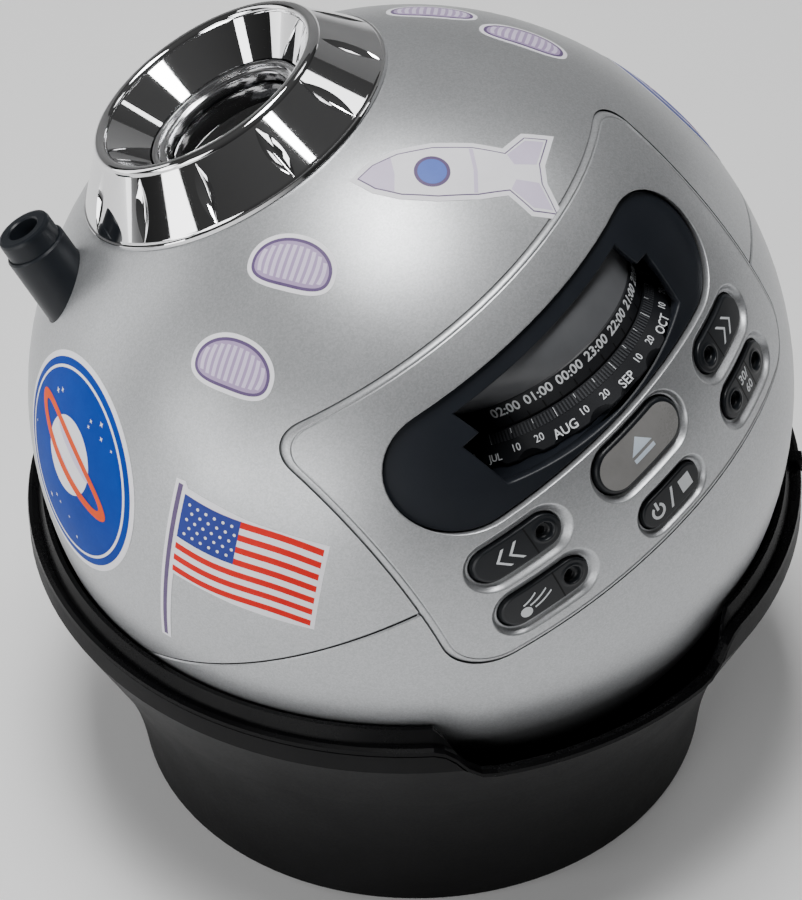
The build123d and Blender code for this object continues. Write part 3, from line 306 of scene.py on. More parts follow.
def inside(points: np.ndarray, loop: np.ndarray) -> np.ndarray:
    """Whether points lie inside a closed loop, by counting the sides crossed on the way out.

    Args:
        points: (n, 2) array.
        loop: (m, 2) array.

    Returns:
        (n,) array of booleans.
    """
    a, b = loop[None], np.roll(loop, -1, 0)[None]
    x, y = points[:, :1], points[:, 1:]
    crosses = (a[..., 1] > y) != (b[..., 1] > y)
    rise = np.where(b[..., 1] == a[..., 1], 1e-12, b[..., 1] - a[..., 1])
    at_right = x < (b[..., 0] - a[..., 0]) * (y - a[..., 1]) / rise + a[..., 0]
    return (crosses & at_right).sum(1) % 2 == 1


# ================================================================ surfaces that flat drawings are laid on
class Surface:
    """A surface in the ball's frame that flat drawings are laid on."""

    def lay(self, uv: np.ndarray, height: np.ndarray) -> np.ndarray:
        """Puts flat points on the surface.

        Args:
            uv: (n, 2) array of places in the flat drawing.
            height: (n,) array of distances above the surface.

        Returns:
            (n, 3) array in the ball's frame.
        """
        raise NotImplementedError

    def normals(self, points: np.ndarray) -> np.ndarray:
        """Exact outward directions at points, or zeros where the mesh's own are good enough."""
        return np.zeros_like(points)


@dataclass(frozen=True)
class Ball(Surface):
    """A ball about the frame's origin."""

    radius: float

    def normals(self, points: np.ndarray) -> np.ndarray:
        """Outward directions at points on the ball."""
        return points / np.linalg.norm(points, axis=1)[:, None]


@dataclass(frozen=True)
class FrontBall(Ball):
    """The ball seen square from the panel side: (u, v) are the ball frame's x and z."""

    centre: tuple = (0.0, 0.0)

    def lay(self, uv: np.ndarray, height: np.ndarray) -> np.ndarray:
        """Puts flat points on the ball.

        The point keeps its x and z, and y is minus the root of (radius + height)^2 - x^2 - z^2.

        Args:
            uv: (n, 2) array, from `centre`.
            height: (n,) array of distances above the ball.

        Returns:
            (n, 3) array in the ball's frame.
        """
        x, z = self.centre[0] + uv[:, 0], self.centre[1] + uv[:, 1]
        depth = np.maximum((self.radius + height) ** 2 - x**2 - z**2, 0)
        return np.stack([x, -np.sqrt(depth), z], 1)


@dataclass(frozen=True)
class SideBall(Ball):
    """A place anywhere on the ball: flat distances run along great circles from its centre."""

    towards: tuple
    turn: float

    def lay(self, uv: np.ndarray, height: np.ndarray) -> np.ndarray:
        """Puts flat points on the ball.

        A point at distance s from the middle lands at the angle s / radius from the direction
        `towards`, on the side it was drawn on, with the drawing turned by `turn` degrees.

        Args:
            uv: (n, 2) array, from the middle.
            height: (n,) array of distances above the ball.

        Returns:
            (n, 3) array in the ball's frame.
        """
        out = np.array(self.towards, float)
        out /= np.linalg.norm(out)
        east = np.cross((0, 0, 1), out)
        east /= np.linalg.norm(east)
        north = np.cross(out, east)
        c, s = np.cos(np.radians(self.turn)), np.sin(np.radians(self.turn))
        u, v = uv[:, 0] * c - uv[:, 1] * s, uv[:, 0] * s + uv[:, 1] * c
        reach = np.hypot(u, v)
        spread = np.sin(reach / self.radius) / np.maximum(reach, TINY)
        sideways = (spread * u)[:, None] * east
        way = np.cos(reach / self.radius)[:, None] * out + sideways + (spread * v)[:, None] * north
        return way * (self.radius + height)[:, None]


@dataclass(frozen=True)
class Taper(Surface):
    """A cone or drum wall about an upright axis.

    u runs round it and v up its slope, from (radius, z) to (top_radius, top_z).
    """

    axis: tuple
    radius: float
    z: float
    top_radius: float
    top_z: float
    angle: float

    def lay(self, uv: np.ndarray, height: np.ndarray) -> np.ndarray:
        """Puts flat points on the wall.

        v of 0 is the lower edge; the angle is `angle` plus u divided by the local radius, from
        -Y towards +X; height moves the point out along the wall's normal.

        Args:
            uv: (n, 2) array.
            height: (n,) array of distances off the wall.

        Returns:
            (n, 3) array in the ball's frame.
        """
        rise, run = self.top_z - self.z, self.top_radius - self.radius
        slant = np.hypot(rise, run)
        skin = self.radius + uv[:, 1] * run / slant
        radius = skin + height * rise / slant
        turn = np.radians(self.angle) + uv[:, 0] / skin
        z = self.z + uv[:, 1] * rise / slant - height * run / slant
        return np.stack([self.axis[0] + radius * np.sin(turn), self.axis[1] - radius * np.cos(turn), z], 1)


# ================================================================ plates
@dataclass(frozen=True)
class Edge:
    """How a plate ends at an outline: (distance outwards from it, height) pairs from the plate's face on.

    A cut edge with a floor is a hollow that doesn't go through.
    """

    outline: Outline
    steps: tuple
    floor: bool = False


@dataclass
class Plate:
    """A thin body laid on a surface: a face with rolled edges, openings and hollows, and a back.

    The points inside the face lie `spacing` apart, and `edge_mark` is the finish of its edges and back.
    """

    surface: Surface
    edge: Edge
    back: float
    cuts: Sequence[Edge] = ()
    spacing: float = 3.0
    edge_mark: int = 0

    def triangles(self, loops: list) -> tuple:
        """Fills a region between loops with triangles over an even spread of points.

        The points stand in staggered rows, 0.87 of the spacing apart, and keep 0.45 of it from
        the loops.

        Args:
            loops: the outer loop and the loops of its openings.

        Returns:
            The points (loops first) and the triangles between them.
        """
        outer = loops[0]
        low, high = outer.min(0), outer.max(0)
        rows = np.arange(low[1] + self.spacing / 2, high[1], self.spacing * 0.87)
        spread = []
        for index, v in enumerate(rows):
            u = np.arange(low[0] + self.spacing * (0.5 if index % 2 else 1.0), high[0], self.spacing)
            spread.append(np.stack([u, np.full_like(u, v)], 1))
        grid = np.concatenate(spread) if spread else np.zeros((0, 2))
        ring = np.concatenate(loops)
        if len(grid):
            near = np.sqrt(((grid[:, None] - ring[None]) ** 2).sum(-1)).min(1)
            grid = grid[(near > self.spacing * 0.45) & self.region(grid, loops)]
        points = np.concatenate([ring, grid])
        sides, start = [], 0
        for loop in loops:
            sides += [(start + i, start + (i + 1) % len(loop)) for i in range(len(loop))]
            start += len(loop)
        spots, _, faces, sources = delaunay_2d_cdt([Vector(p) for p in points], sides, [], 0, 1e-7)[:4]
        faces = np.array(faces)
        middle = np.array([tuple(spot) for spot in spots])[faces].mean(1)
        source = {new: old[-1] for new, old in enumerate(sources) if old}
        faces = np.array([[source[i] for i in face] for face in faces[self.region(middle, loops)]])
        a, b, c = (points[faces[:, i]] for i in range(3))
        area = (b - a)[:, 0] * (c - a)[:, 1] - (b - a)[:, 1] * (c - a)[:, 0]
        faces[area < 0] = faces[area < 0][:, ::-1]
        return points, faces

    @staticmethod
    def region(points: np.ndarray, loops: list) -> np.ndarray:
        """Whether points lie inside the first loop and outside the others.

        Args:
            points: (n, 2) array.
            loops: the outer loop and the loops of its openings.

        Returns:
            (n,) array of booleans.
        """
        keep = inside(points, loops[0])
        for hole in loops[1:]:
            keep &= ~inside(points, hole)
        return keep

    def shape(self) -> Shape:
        """Builds the plate.

        The face is triangles at height 0, each edge a band of quads through its steps, the back
        the same region again at height `back`, so the body is closed.

        Returns:
            The closed shape, with exact normals on its face where the surface has them.
        """
        edges = [self.edge, *self.cuts]
        loops = [e.outline.loop(e.steps[0][0]) for e in edges]
        points, faces = self.triangles(loops)

        def lay(uv: np.ndarray, height: float) -> np.ndarray:
            """Lays points that have one height."""
            return self.surface.lay(uv, np.full(len(uv), float(height)))

        face_points = lay(points, self.edge.steps[0][1])
        parts = [Shape(face_points, faces.tolist(), self.surface.normals(face_points)).marked(0)]
        through = [e.outline.loop(e.steps[-1][0]) for e in edges if not e.floor]
        back_points, back_faces = self.triangles(through)
        parts.append(Shape(lay(back_points, self.back), back_faces[:, ::-1].tolist()).marked(self.edge_mark))
        for index, e in enumerate(edges):
            steps = list(e.steps)
            if not e.floor:
                steps.append((steps[-1][0], self.back))
            rows = [lay(e.outline.loop(offset), height) for offset, height in steps]
            count = len(rows[0])
            band = quads(len(rows), count, True)
            band = band[:, ::-1] if index == 0 else band
            solid = Shape(np.concatenate(rows), band.tolist())
            if e.floor:
                hub = rows[-1].mean(0, keepdims=True)
                solid.points = np.concatenate([solid.points, hub])
                last, hub_at = (len(rows) - 1) * count, len(solid.points) - 1
                solid.faces += [[last + i, last + (i + 1) % count, hub_at] for i in range(count)]
            normals = np.zeros_like(solid.points)
            normals[:count] = self.surface.normals(rows[0])
            solid.normals = normals
            parts.append(solid.marked(0 if e.floor else self.edge_mark))
        return weld(Shape.join(parts))


def weld(shape: Shape) -> Shape:
    """Joins points that lie in the same place.

    Args:
        shape: a shape whose parts share borders.

    Returns:
        The shape with each place held by one point; exact normals win over empty ones.
    """
    places = np.round(shape.points, 5)
    _, first, back = np.unique(places, axis=0, return_index=True, return_inverse=True)
    back = back.reshape(-1)
    normals = np.zeros((len(first), 3))
    if shape.normals is not None:
        np.add.at(normals, back, shape.normals)
    faces, marks = [], []
    marks_in = np.zeros(len(shape.faces), int) if shape.marks is None else shape.marks
    for face, mark in zip(shape.faces, marks_in):
        new = [int(back[i]) for i in face]
        new = [a for i, a in enumerate(new) if a != new[i - 1]]
        if len(set(new)) == len(new) > 2:
            faces.append(new)
            marks.append(mark)
    return Shape(shape.points[first], faces, normals, np.array(marks, int))


def rolled(radius: float, steps: int) -> tuple:
    """Steps of a quarter-round outer edge.

    At the angle a it lies radius * (1 - sin a) inside the outline, radius * (1 - cos a) down.

    Args:
        radius: the round's radius.
        steps: number of bands in it.

    Returns:
        (distance, height) pairs for `Edge`.
    """
    angle = np.linspace(0, np.pi / 2, steps + 1)
    return tuple(zip(-radius * (1 - np.sin(angle)), -radius * (1 - np.cos(angle))))


# ================================================================ shader groups and finishes
class Groups:
    """Node groups that the finishes share. Each gives only what varies over a surface."""

    @staticmethod
    def start(name: str, inputs: dict, outputs: dict) -> tuple:
        """Opens a group.

        Args:
            name: its name.
            inputs: socket name to (type, default).
            outputs: socket name to type.

        Returns:
            The tree, its input node, its output node, or the tree alone with None where it exists.
        """
        tree = bpy.data.node_groups.get(name)
        if tree:
            return tree, None, None
        tree = bpy.data.node_groups.new(name, "ShaderNodeTree")
        for label, (kind, default) in inputs.items():
            socket = tree.interface.new_socket(name=label, in_out="INPUT", socket_type=kind)
            if default is not None:
                socket.default_value = default
        for label, kind in outputs.items():
            tree.interface.new_socket(name=label, in_out="OUTPUT", socket_type=kind)
        return tree, tree.nodes.new("NodeGroupInput"), tree.nodes.new("NodeGroupOutput")

    @classmethod
    def grain(cls) -> bpy.types.NodeTree:
        """Fine moulding or paint grain: a value between Low and High, and a height for bump.

        Value is 0.45 of the fine noise plus the broad noise, spread over Low to High.

        Returns:
            The group's tree.
        """
        tree, into, out = cls.start(
            "Surface grain",
            {
                "Vector": ("NodeSocketVector", None),
                "Scale": ("NodeSocketFloat", 900.0),
                "Low": ("NodeSocketFloat", 0.3),
                "High": ("NodeSocketFloat", 0.4),
            },
            {"Value": "NodeSocketFloat", "Height": "NodeSocketFloat"},
        )
        if into is None:
            return tree
        fine, broad = tree.nodes.new("ShaderNodeTexNoise"), tree.nodes.new("ShaderNodeTexNoise")
        fine.inputs["Detail"].default_value = 3.0
        broad.inputs["Scale"].default_value = 38.0
        broad.inputs["Detail"].default_value = 4.0
        mix = tree.nodes.new("ShaderNodeMath")
        mix.operation = "MULTIPLY_ADD"
        mix.inputs[1].default_value = 0.45
        spread = tree.nodes.new("ShaderNodeMapRange")
        spread.inputs["From Min"].default_value = 0.45
        spread.inputs["From Max"].default_value = 1.0
        link = tree.links.new
        link(into.outputs["Vector"], fine.inputs["Vector"])
        link(into.outputs["Vector"], broad.inputs["Vector"])
        link(into.outputs["Scale"], fine.inputs["Scale"])
        link(fine.outputs["Fac"], mix.inputs[0])
        link(broad.outputs["Fac"], mix.inputs[2])
        link(mix.outputs[0], spread.inputs["Value"])
        link(into.outputs["Low"], spread.inputs["To Min"])
        link(into.outputs["High"], spread.inputs["To Max"])
        link(spread.outputs["Result"], out.inputs["Value"])
        link(fine.outputs["Fac"], out.inputs["Height"])
        return tree

    @classmethod
    def flakes(cls) -> bpy.types.NodeTree:
        """Flakes of metallic paint: a colour that jumps from cell to cell between two shades.

        The mix is 0.62 of the cell's own random value plus 0.38 of a broad cloud.

        Returns:
            The group's tree.
        """
        tree, into, out = cls.start(
            "Paint flakes",
            {
                "Vector": ("NodeSocketVector", None),
                "Scale": ("NodeSocketFloat", 2600.0),
                "Shade": ("NodeSocketColor", (0.4, 0.4, 0.4, 1)),
                "Light": ("NodeSocketColor", (0.6, 0.6, 0.6, 1)),
            },
            {"Color": "NodeSocketColor", "Height": "NodeSocketFloat"},
        )
        if into is None:
            return tree
        cells, cloud = tree.nodes.new("ShaderNodeTexVoronoi"), tree.nodes.new("ShaderNodeTexNoise")
        cloud.inputs["Scale"].default_value = 24.0
        value = tree.nodes.new("ShaderNodeSeparateColor")
        mean, ramp = tree.nodes.new("ShaderNodeMath"), tree.nodes.new("ShaderNodeMix")
        mean.operation, ramp.data_type = "MULTIPLY_ADD", "RGBA"
        mean.inputs[1].default_value = 0.62
        lower = tree.nodes.new("ShaderNodeMath")
        lower.operation = "MULTIPLY"
        lower.inputs[1].default_value = 0.38
        link = tree.links.new
        link(into.outputs["Vector"], cells.inputs["Vector"])
        link(into.outputs["Vector"], cloud.inputs["Vector"])
        link(into.outputs["Scale"], cells.inputs["Scale"])
        link(cells.outputs["Color"], value.inputs[0])
        link(cloud.outputs["Fac"], lower.inputs[0])
        link(value.outputs[0], mean.inputs[0])
        link(lower.outputs[0], mean.inputs[2])
        link(mean.outputs[0], ramp.inputs["Factor"])
        link(into.outputs["Shade"], ramp.inputs["A"])
        link(into.outputs["Light"], ramp.inputs["B"])
        link(ramp.outputs["Result"], out.inputs["Color"])
        link(value.outputs[1], out.inputs["Height"])
        return tree

    @classmethod
    def tint(cls) -> bpy.types.NodeTree:
        """Slow cloudy change between two colours.

        Returns:
            The group's tree.
        """
        tree, into, out = cls.start(
            "Cloudy tint",
            {
                "Vector": ("NodeSocketVector", None),
                "Scale": ("NodeSocketFloat", 60.0),
                "Shade": ("NodeSocketColor", (0.02, 0.02, 0.02, 1)),
                "Light": ("NodeSocketColor", (0.03, 0.03, 0.03, 1)),
            },
            {"Color": "NodeSocketColor"},
        )
        if into is None:
            return tree
        cloud, ramp = tree.nodes.new("ShaderNodeTexNoise"), tree.nodes.new("ShaderNodeMix")
        cloud.inputs["Detail"].default_value = 8.0
        cloud.inputs["Roughness"].default_value = 0.7
        ramp.data_type = "RGBA"
        widen = tree.nodes.new("ShaderNodeMapRange")
        widen.inputs["From Min"].default_value = 0.3
        widen.inputs["From Max"].default_value = 0.7
        link = tree.links.new
        link(into.outputs["Vector"], cloud.inputs["Vector"])
        link(into.outputs["Scale"], cloud.inputs["Scale"])
        link(cloud.outputs["Fac"], widen.inputs["Value"])
        link(widen.outputs["Result"], ramp.inputs["Factor"])
        link(into.outputs["Shade"], ramp.inputs["A"])
        link(into.outputs["Light"], ramp.inputs["B"])
        link(ramp.outputs["Result"], out.inputs["Color"])
        return tree


@dataclass(frozen=True)
class Finish:
    """A surface as it is made: two tones, a roughness range, grain and, where it has one, a clear coat.

    `grain`, `flakes` and `cloud` are noise scales, and `depth` is the grain's height in metres.
    """

    name: str
    shade: tuple
    light: tuple
    rough: tuple
    grain: float
    depth: float
    metallic: float = 0.0
    specular: float = 0.5
    coat: float = 0.0
    coat_rough: float = 0.1
    flakes: float = 0.0
    cloud: float = 60.0
    glow: float = 0.0

    def shader(self, tree: bpy.types.NodeTree) -> bpy.types.Node:
        """Sets the constant values on the Principled shader of a tree.

        Args:
            tree: the material's node tree.

        Returns:
            The shader's node.
        """
        node = tree.nodes["Principled BSDF"]
        node.inputs["Metallic"].default_value = self.metallic
        node.inputs["Specular IOR Level"].default_value = self.specular
        node.inputs["Coat Weight"].default_value = self.coat
        node.inputs["Coat Roughness"].default_value = self.coat_rough
        if self.glow:
            node.inputs["Emission Color"].default_value = (1, 1, 1, 1)
            node.inputs["Emission Strength"].default_value = self.glow
        return node

    def material(self) -> bpy.types.Material:
        """The finish's material, made the first time it is asked for.

        Returns:
            The material, with grain on its roughness and bump, and flakes or clouds in its colour.
        """
        label = f"finish_{self.name}"
        known = bpy.data.materials.get(label)
        if known:
            return known
        made = bpy.data.materials.new(label)
        made.use_nodes = True
        made.diffuse_color = (*self.light, 1)
        tree = made.node_tree
        shader = self.shader(tree)
        spot = tree.nodes.new("ShaderNodeTexCoord")
        grain = tree.nodes.new("ShaderNodeGroup")
        grain.node_tree = Groups.grain()
        grain.inputs["Scale"].default_value = self.grain
        grain.inputs["Low"].default_value, grain.inputs["High"].default_value = self.rough
        colour = tree.nodes.new("ShaderNodeGroup")
        colour.node_tree = Groups.flakes() if self.flakes else Groups.tint()
        colour.inputs["Scale"].default_value = self.flakes or self.cloud
        colour.inputs["Shade"].default_value = (*self.shade, 1)
        colour.inputs["Light"].default_value = (*self.light, 1)
        bump = tree.nodes.new("ShaderNodeBump")
        bump.inputs["Strength"].default_value = 0.6
        bump.inputs["Distance"].default_value = self.depth
        link = tree.links.new
        link(spot.outputs["Object"], grain.inputs["Vector"])
        link(spot.outputs["Object"], colour.inputs["Vector"])
        link(colour.outputs["Color"], shader.inputs["Base Color"])
        link(grain.outputs["Value"], shader.inputs["Roughness"])
        link(grain.outputs["Height"], bump.inputs["Height"])
        link(bump.outputs["Normal"], shader.inputs["Normal"])
        return made


@dataclass(frozen=True)
class Glass(Finish):
    """Clear or tinted glass with a faint bloom on its surface."""

    ior: float = 1.5

    def shader(self, tree: bpy.types.NodeTree) -> bpy.types.Node:
        """Adds plain transmission to the shader's constant values.

        Args:
            tree: the material's node tree.

        Returns:
            The shader's node.
        """
        node = super().shader(tree)
        node.inputs["Transmission Weight"].default_value = 1.0
        node.inputs["IOR"].default_value = self.ior
        return node


class Look:
    """The finishes of this object."""

    SILVER = Finish("silver_paint", (0.38, 0.39, 0.40), (0.54, 0.55, 0.565),
                    (0.36, 0.44), 1500.0, 0.000006, 0.72, coat=0.22, coat_rough=0.30, flakes=3400.0)
    CHROME = Finish("mirror_chrome", (0.84, 0.84, 0.85), (0.90, 0.90, 0.91),
                    (0.02, 0.05), 500.0, 0.0000012, 1.0)
    TRIM = Finish("trim_chrome", (0.66, 0.66, 0.67), (0.74, 0.74, 0.75), (0.13, 0.17), 500.0, 0.0000012, 1.0)
    SLATE = Finish("slate_plastic", (0.0070, 0.0088, 0.0125), (0.0105, 0.0128, 0.0175),
                   (0.38, 0.50), 2400.0, 0.000008, specular=0.30)
    DIAL = Finish("dial_plastic", (0.0080, 0.0086, 0.0104), (0.0120, 0.0128, 0.0152),
                  (0.34, 0.46), 2400.0, 0.000006, specular=0.28)
    # Painted light: the hour shade's colour is made much lighter than the dark plastic round it, in place of
    # light falling on it.
    SHADE_PAINTED_LIGHT = Finish("shade_plastic_painted_light", (0.085, 0.087, 0.092), (0.105, 0.108, 0.114),
                   (0.30, 0.42), 2400.0, 0.000005, specular=0.45)
    RIB = Finish("rib_plastic", (0.030, 0.032, 0.036), (0.042, 0.044, 0.048),
                 (0.34, 0.46), 2400.0, 0.000006, specular=0.30)
    BUTTON = Finish("button_plastic", (0.0062, 0.0074, 0.0094), (0.0098, 0.0115, 0.0140),
                    (0.30, 0.42), 2400.0, 0.000006, specular=0.35)
    WARM = Finish("warm_button_plastic", (0.20, 0.196, 0.19), (0.26, 0.255, 0.25),
                  (0.26, 0.36), 2400.0, 0.000005, specular=0.35, coat=0.15)
    RIM = Finish("rim_plastic", (0.0018, 0.0018, 0.0021), (0.0034, 0.0034, 0.0038),
                 (0.22, 0.34), 1800.0, 0.000006, specular=0.13)
    BASE = Finish("base_plastic", (0.0042, 0.0042, 0.0045), (0.0070, 0.0070, 0.0074),
                  (0.44, 0.58), 1400.0, 0.000022, specular=0.10)
    BLACK = Finish("black_plastic", (0.006, 0.0068, 0.0085), (0.010, 0.0112, 0.0135),
                   (0.34, 0.46), 1800.0, 0.000008, specular=0.35)
    TUBE = Finish("tube_plastic", (0.0065, 0.0082, 0.0112), (0.0105, 0.0130, 0.0168),
                  (0.32, 0.44), 1800.0, 0.000008, specular=0.28)
    INNER = Finish("inner_plastic", (0.14, 0.14, 0.15), (0.20, 0.20, 0.21), (0.45, 0.6), 1200.0, 0.000012)
    GEAR = Finish("white_gear", (0.70, 0.69, 0.65), (0.80, 0.79, 0.76), (0.35, 0.45), 1500.0, 0.000006)
    FILM = Finish("star_film", (0.006, 0.007, 0.012), (0.012, 0.014, 0.024),
                  (0.08, 0.14), 900.0, 0.000002, coat=0.6)
    CIRCUIT = Finish("circuit_green", (0.010, 0.10, 0.045), (0.020, 0.16, 0.07),
                     (0.25, 0.4), 800.0, 0.000010, cloud=420.0)
    SINK = Finish("sink_aluminium", (0.52, 0.53, 0.54), (0.66, 0.67, 0.68),
                  (0.28, 0.42), 900.0, 0.000012, 1.0)
    STEEL = Finish("steel", (0.42, 0.42, 0.43), (0.56, 0.56, 0.57), (0.22, 0.36), 1400.0, 0.000008, 1.0)
    CELL = Finish("cell_wrap", (0.06, 0.08, 0.26), (0.10, 0.13, 0.38), (0.12, 0.2), 900.0, 0.000004, coat=0.5)
    RUBBER = Finish("rubber", (0.010, 0.010, 0.011), (0.018, 0.018, 0.019), (0.65, 0.8), 1100.0, 0.00003)
    LAMP = Finish("lamp_white", (0.82, 0.80, 0.66), (0.92, 0.90, 0.78),
                  (0.15, 0.25), 900.0, 0.000004, coat=0.4)
    LENS = Glass("lens_glass", (0.30, 0.31, 0.33), (0.38, 0.39, 0.41),
                 (0.01, 0.03), 300.0, 0.0000005, specular=0.40)
    INK = Finish("white_print", (0.60, 0.62, 0.64), (0.74, 0.76, 0.78),
                 (0.4, 0.55), 3000.0, 0.000003, specular=0.3)
    PALE = Finish("pale_blue_print", (0.55, 0.64, 0.74), (0.68, 0.76, 0.85),
                  (0.4, 0.5), 3000.0, 0.000003, specular=0.3)
    # Dark lines: printed ticks and the seam line, and painted shade in the button grooves and at the foot of
    # the hour drum.
    DARK_LINES_AND_SHADE = Finish("dark_lines_and_painted_shade", (0.0015, 0.0015, 0.0018), (0.003, 0.003, 0.0034),
                  (0.5, 0.6), 3000.0, 0.000003, specular=0.2)
    VINYL = Finish("white_vinyl", (0.84, 0.83, 0.87), (0.92, 0.91, 0.95),
                   (0.40, 0.52), 1500.0, 0.000004, specular=0.25)
    LILAC = Finish("lilac_vinyl", (0.62, 0.54, 0.72), (0.72, 0.64, 0.82),
                   (0.40, 0.52), 1500.0, 0.000004, specular=0.20)
    MAUVE = Finish("mauve_vinyl", (0.36, 0.27, 0.45), (0.43, 0.33, 0.53),
                   (0.40, 0.52), 1500.0, 0.000004, specular=0.20)
    PURPLE = Finish("purple_vinyl", (0.105, 0.07, 0.16), (0.14, 0.095, 0.20),
                    (0.40, 0.52), 1500.0, 0.000004, specular=0.20)
    BLUE = Finish("blue_vinyl", (0.001, 0.034, 0.27), (0.002, 0.050, 0.36),
                  (0.42, 0.54), 1500.0, 0.000004, specular=0.06)
    VISOR = Finish("visor_blue_vinyl", (0.085, 0.14, 0.48), (0.12, 0.19, 0.58),
                   (0.40, 0.52), 1500.0, 0.000004, specular=0.15)
    NAVY = Finish("navy_vinyl", (0.030, 0.045, 0.23), (0.040, 0.060, 0.30),
                  (0.42, 0.54), 1500.0, 0.000004, specular=0.08)
    RED = Finish("red_vinyl", (0.62, 0.010, 0.008), (0.74, 0.018, 0.014),
                 (0.42, 0.54), 1500.0, 0.000004, specular=0.08)
    ORANGE = Finish("orange_vinyl", (0.72, 0.065, 0.008), (0.82, 0.095, 0.016),
                    (0.42, 0.54), 1500.0, 0.000004, specular=0.08)
    FLOOR = Finish("studio_floor", (0.90, 0.90, 0.90), (0.94, 0.94, 0.94),
                   (0.6, 0.7), 40.0, 0.00002, cloud=3.0, glow=0.08)

    BY_SLOT = {
        "silver_shell": SILVER, "mirror_chrome": CHROME, "slate_plastic": SLATE, "dial_plastic": DIAL,
        "button_plastic": BUTTON, "warm_button_plastic": WARM, "rim_plastic": RIM, "base_plastic": BASE,
        "black_plastic": BLACK, "inner_plastic": INNER, "white_gear": GEAR, "lens_glass": LENS,
        "star_film": FILM, "circuit_green": CIRCUIT, "sink_aluminium": SINK, "steel": STEEL,
        "cell_wrap": CELL, "rubber": RUBBER, "lamp_white": LAMP,
    }


# ================================================================ pieces
def add_piece(name: str, shape: Shape, finishes: Sequence[Finish], body: str, replaces: Sequence[str] = (),
              sharp: float = 32.0) -> None:
    """Makes an object from a shape in the ball's frame and lets it ride on a body.

    Args:
        name: the piece's name.
        shape: its points and faces.
        finishes: its finishes, numbered as the shape's marks are.
        body: the body that it moves with.
        replaces: CAD nodes that it stands for.
        sharp: angle in degrees above which an edge is drawn sharp.
    """
    mesh = bpy.data.meshes.new(name)
    mesh.from_pydata(in_metres(shape.points).tolist(), [], shape.faces)
    for finish in finishes:
        mesh.materials.append(finish.material())
    if shape.marks is not None and len(finishes) > 1:
        mesh.polygons.foreach_set("material_index", np.ascontiguousarray(shape.marks, dtype=np.int32))
    mesh.shade_smooth()
    mesh.set_sharp_from_angle(angle=np.radians(sharp))
    if shape.normals is not None and np.abs(shape.normals).sum() > 0:
        length = np.linalg.norm(shape.normals, axis=1)
        unit = shape.normals / np.maximum(length, TINY)[:, None]
        mesh.normals_split_custom_set_from_vertices((unit @ np.array(BALL_AT.to_3x3()).T).tolist())
    mesh.validate(clean_customdata=False)
    piece = bpy.data.objects.new(name, mesh)
    bpy.context.scene.collection.objects.link(piece)
    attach(piece, body)
    if replaces:
        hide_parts(*replaces)
    log.info("%s: %d points, %d faces, rides on %s", name, len(mesh.vertices), len(mesh.polygons), body)


class Lettering:
    """Generic numbers and words as thin raised prints."""

    @staticmethod
    def flat(text: str, cap: float, bold: float, slant: float = 0.0, width: float = 1.0) -> Shape:
        """Letters as a thin closed body, centred on the middle of their box.

        Args:
            text: the letters.
            cap: height of a capital in millimetres.
            bold: extra weight, as a share of the letter size.
            slant: shear to the right.
            width: width of the letters as a share of their usual one.

        Returns:
            A shape whose points are (u, v, thickness from 0 to 1).
        """
        curve = bpy.data.curves.new("letters", "FONT")
        curve.body, curve.size, curve.extrude, curve.offset = text, 1.0, 0.5, bold
        curve.align_x, curve.align_y = "CENTER", "CENTER"
        curve.resolution_u, curve.shear = 3, slant
        holder = bpy.data.objects.new("letters", curve)
        bpy.context.scene.collection.objects.link(holder)
        bpy.context.view_layer.update()
        mesh = bpy.data.meshes.new_from_object(holder)
        points = np.empty(len(mesh.vertices) * 3)
        mesh.vertices.foreach_get("co", points)
        points = points.reshape(-1, 3)
        faces = [tuple(p.vertices) for p in mesh.polygons]
        bpy.data.objects.remove(holder)
        bpy.data.curves.remove(curve)
        bpy.data.meshes.remove(mesh)
        middle = (points[:, :2].min(0) + points[:, :2].max(0)) / 2
        scale = cap / np.ptp(points[:, 1])
        flat = (points[:, :2] - middle) * scale * np.array([width, 1.0])
        return weld(Shape(np.column_stack([flat, points[:, 2] + 0.5]), faces))

    @classmethod
    def on(cls, surface: Surface, text: str, cap: float, at: tuple, **style: float) -> Shape:
        """Letters laid on a surface, 0.02 to 0.07 above it.

        Args:
            surface: where they lie.
            text: the letters.
            cap: height of a capital.
            at: (u, v) of their middle.
            style: options of `flat`.

        Returns:
            The shape on the surface.
        """
        letters = cls.flat(text, cap, **style)
        uv = letters.points[:, :2] + np.array(at)
        letters.points = surface.lay(uv, 0.02 + letters.points[:, 2] * 0.05)
        letters.normals = None
        return letters


def against_clock(corners: Sequence, step: float) -> Outline:
    """An outline with points along it, turned round where its corners walk with the clock.

    Args:
        corners: the drawing's corners.
        step: longest distance between points.

    Returns:
        The outline; twice its area is the sum of u v' - v u' over its sides.
    """
    points = np.array(Outline.through(list(corners), step).corners)
    ahead = np.roll(points, -1, 0)
    area = (points[:, 0] * ahead[:, 1] - points[:, 1] * ahead[:, 0]).sum()
    return Outline(tuple(map(tuple, points if area > 0 else points[::-1])))


def print_on(surface: Surface, corners: Sequence, level: float, back: float = -0.02, spacing: float = 3.0,
             holes: Sequence = (), step: float = 1.2) -> Shape:
    """A flat drawing as a thin closed layer on a surface.

    Args:
        surface: where it lies.
        corners: the drawing's corners.
        level: height of its face.
        back: height of its back.
        spacing: distance of the points inside it.
        holes: corners of its openings.
        step: longest distance between points along its outline.

    Returns:
        The layer's shape.
    """
    edge = Edge(against_clock(corners, step), ((0.0, level),))
    cuts = [Edge(against_clock(hole, step), ((0.0, level),)) for hole in holes]
    return Plate(surface, edge, back, cuts, spacing).shape()


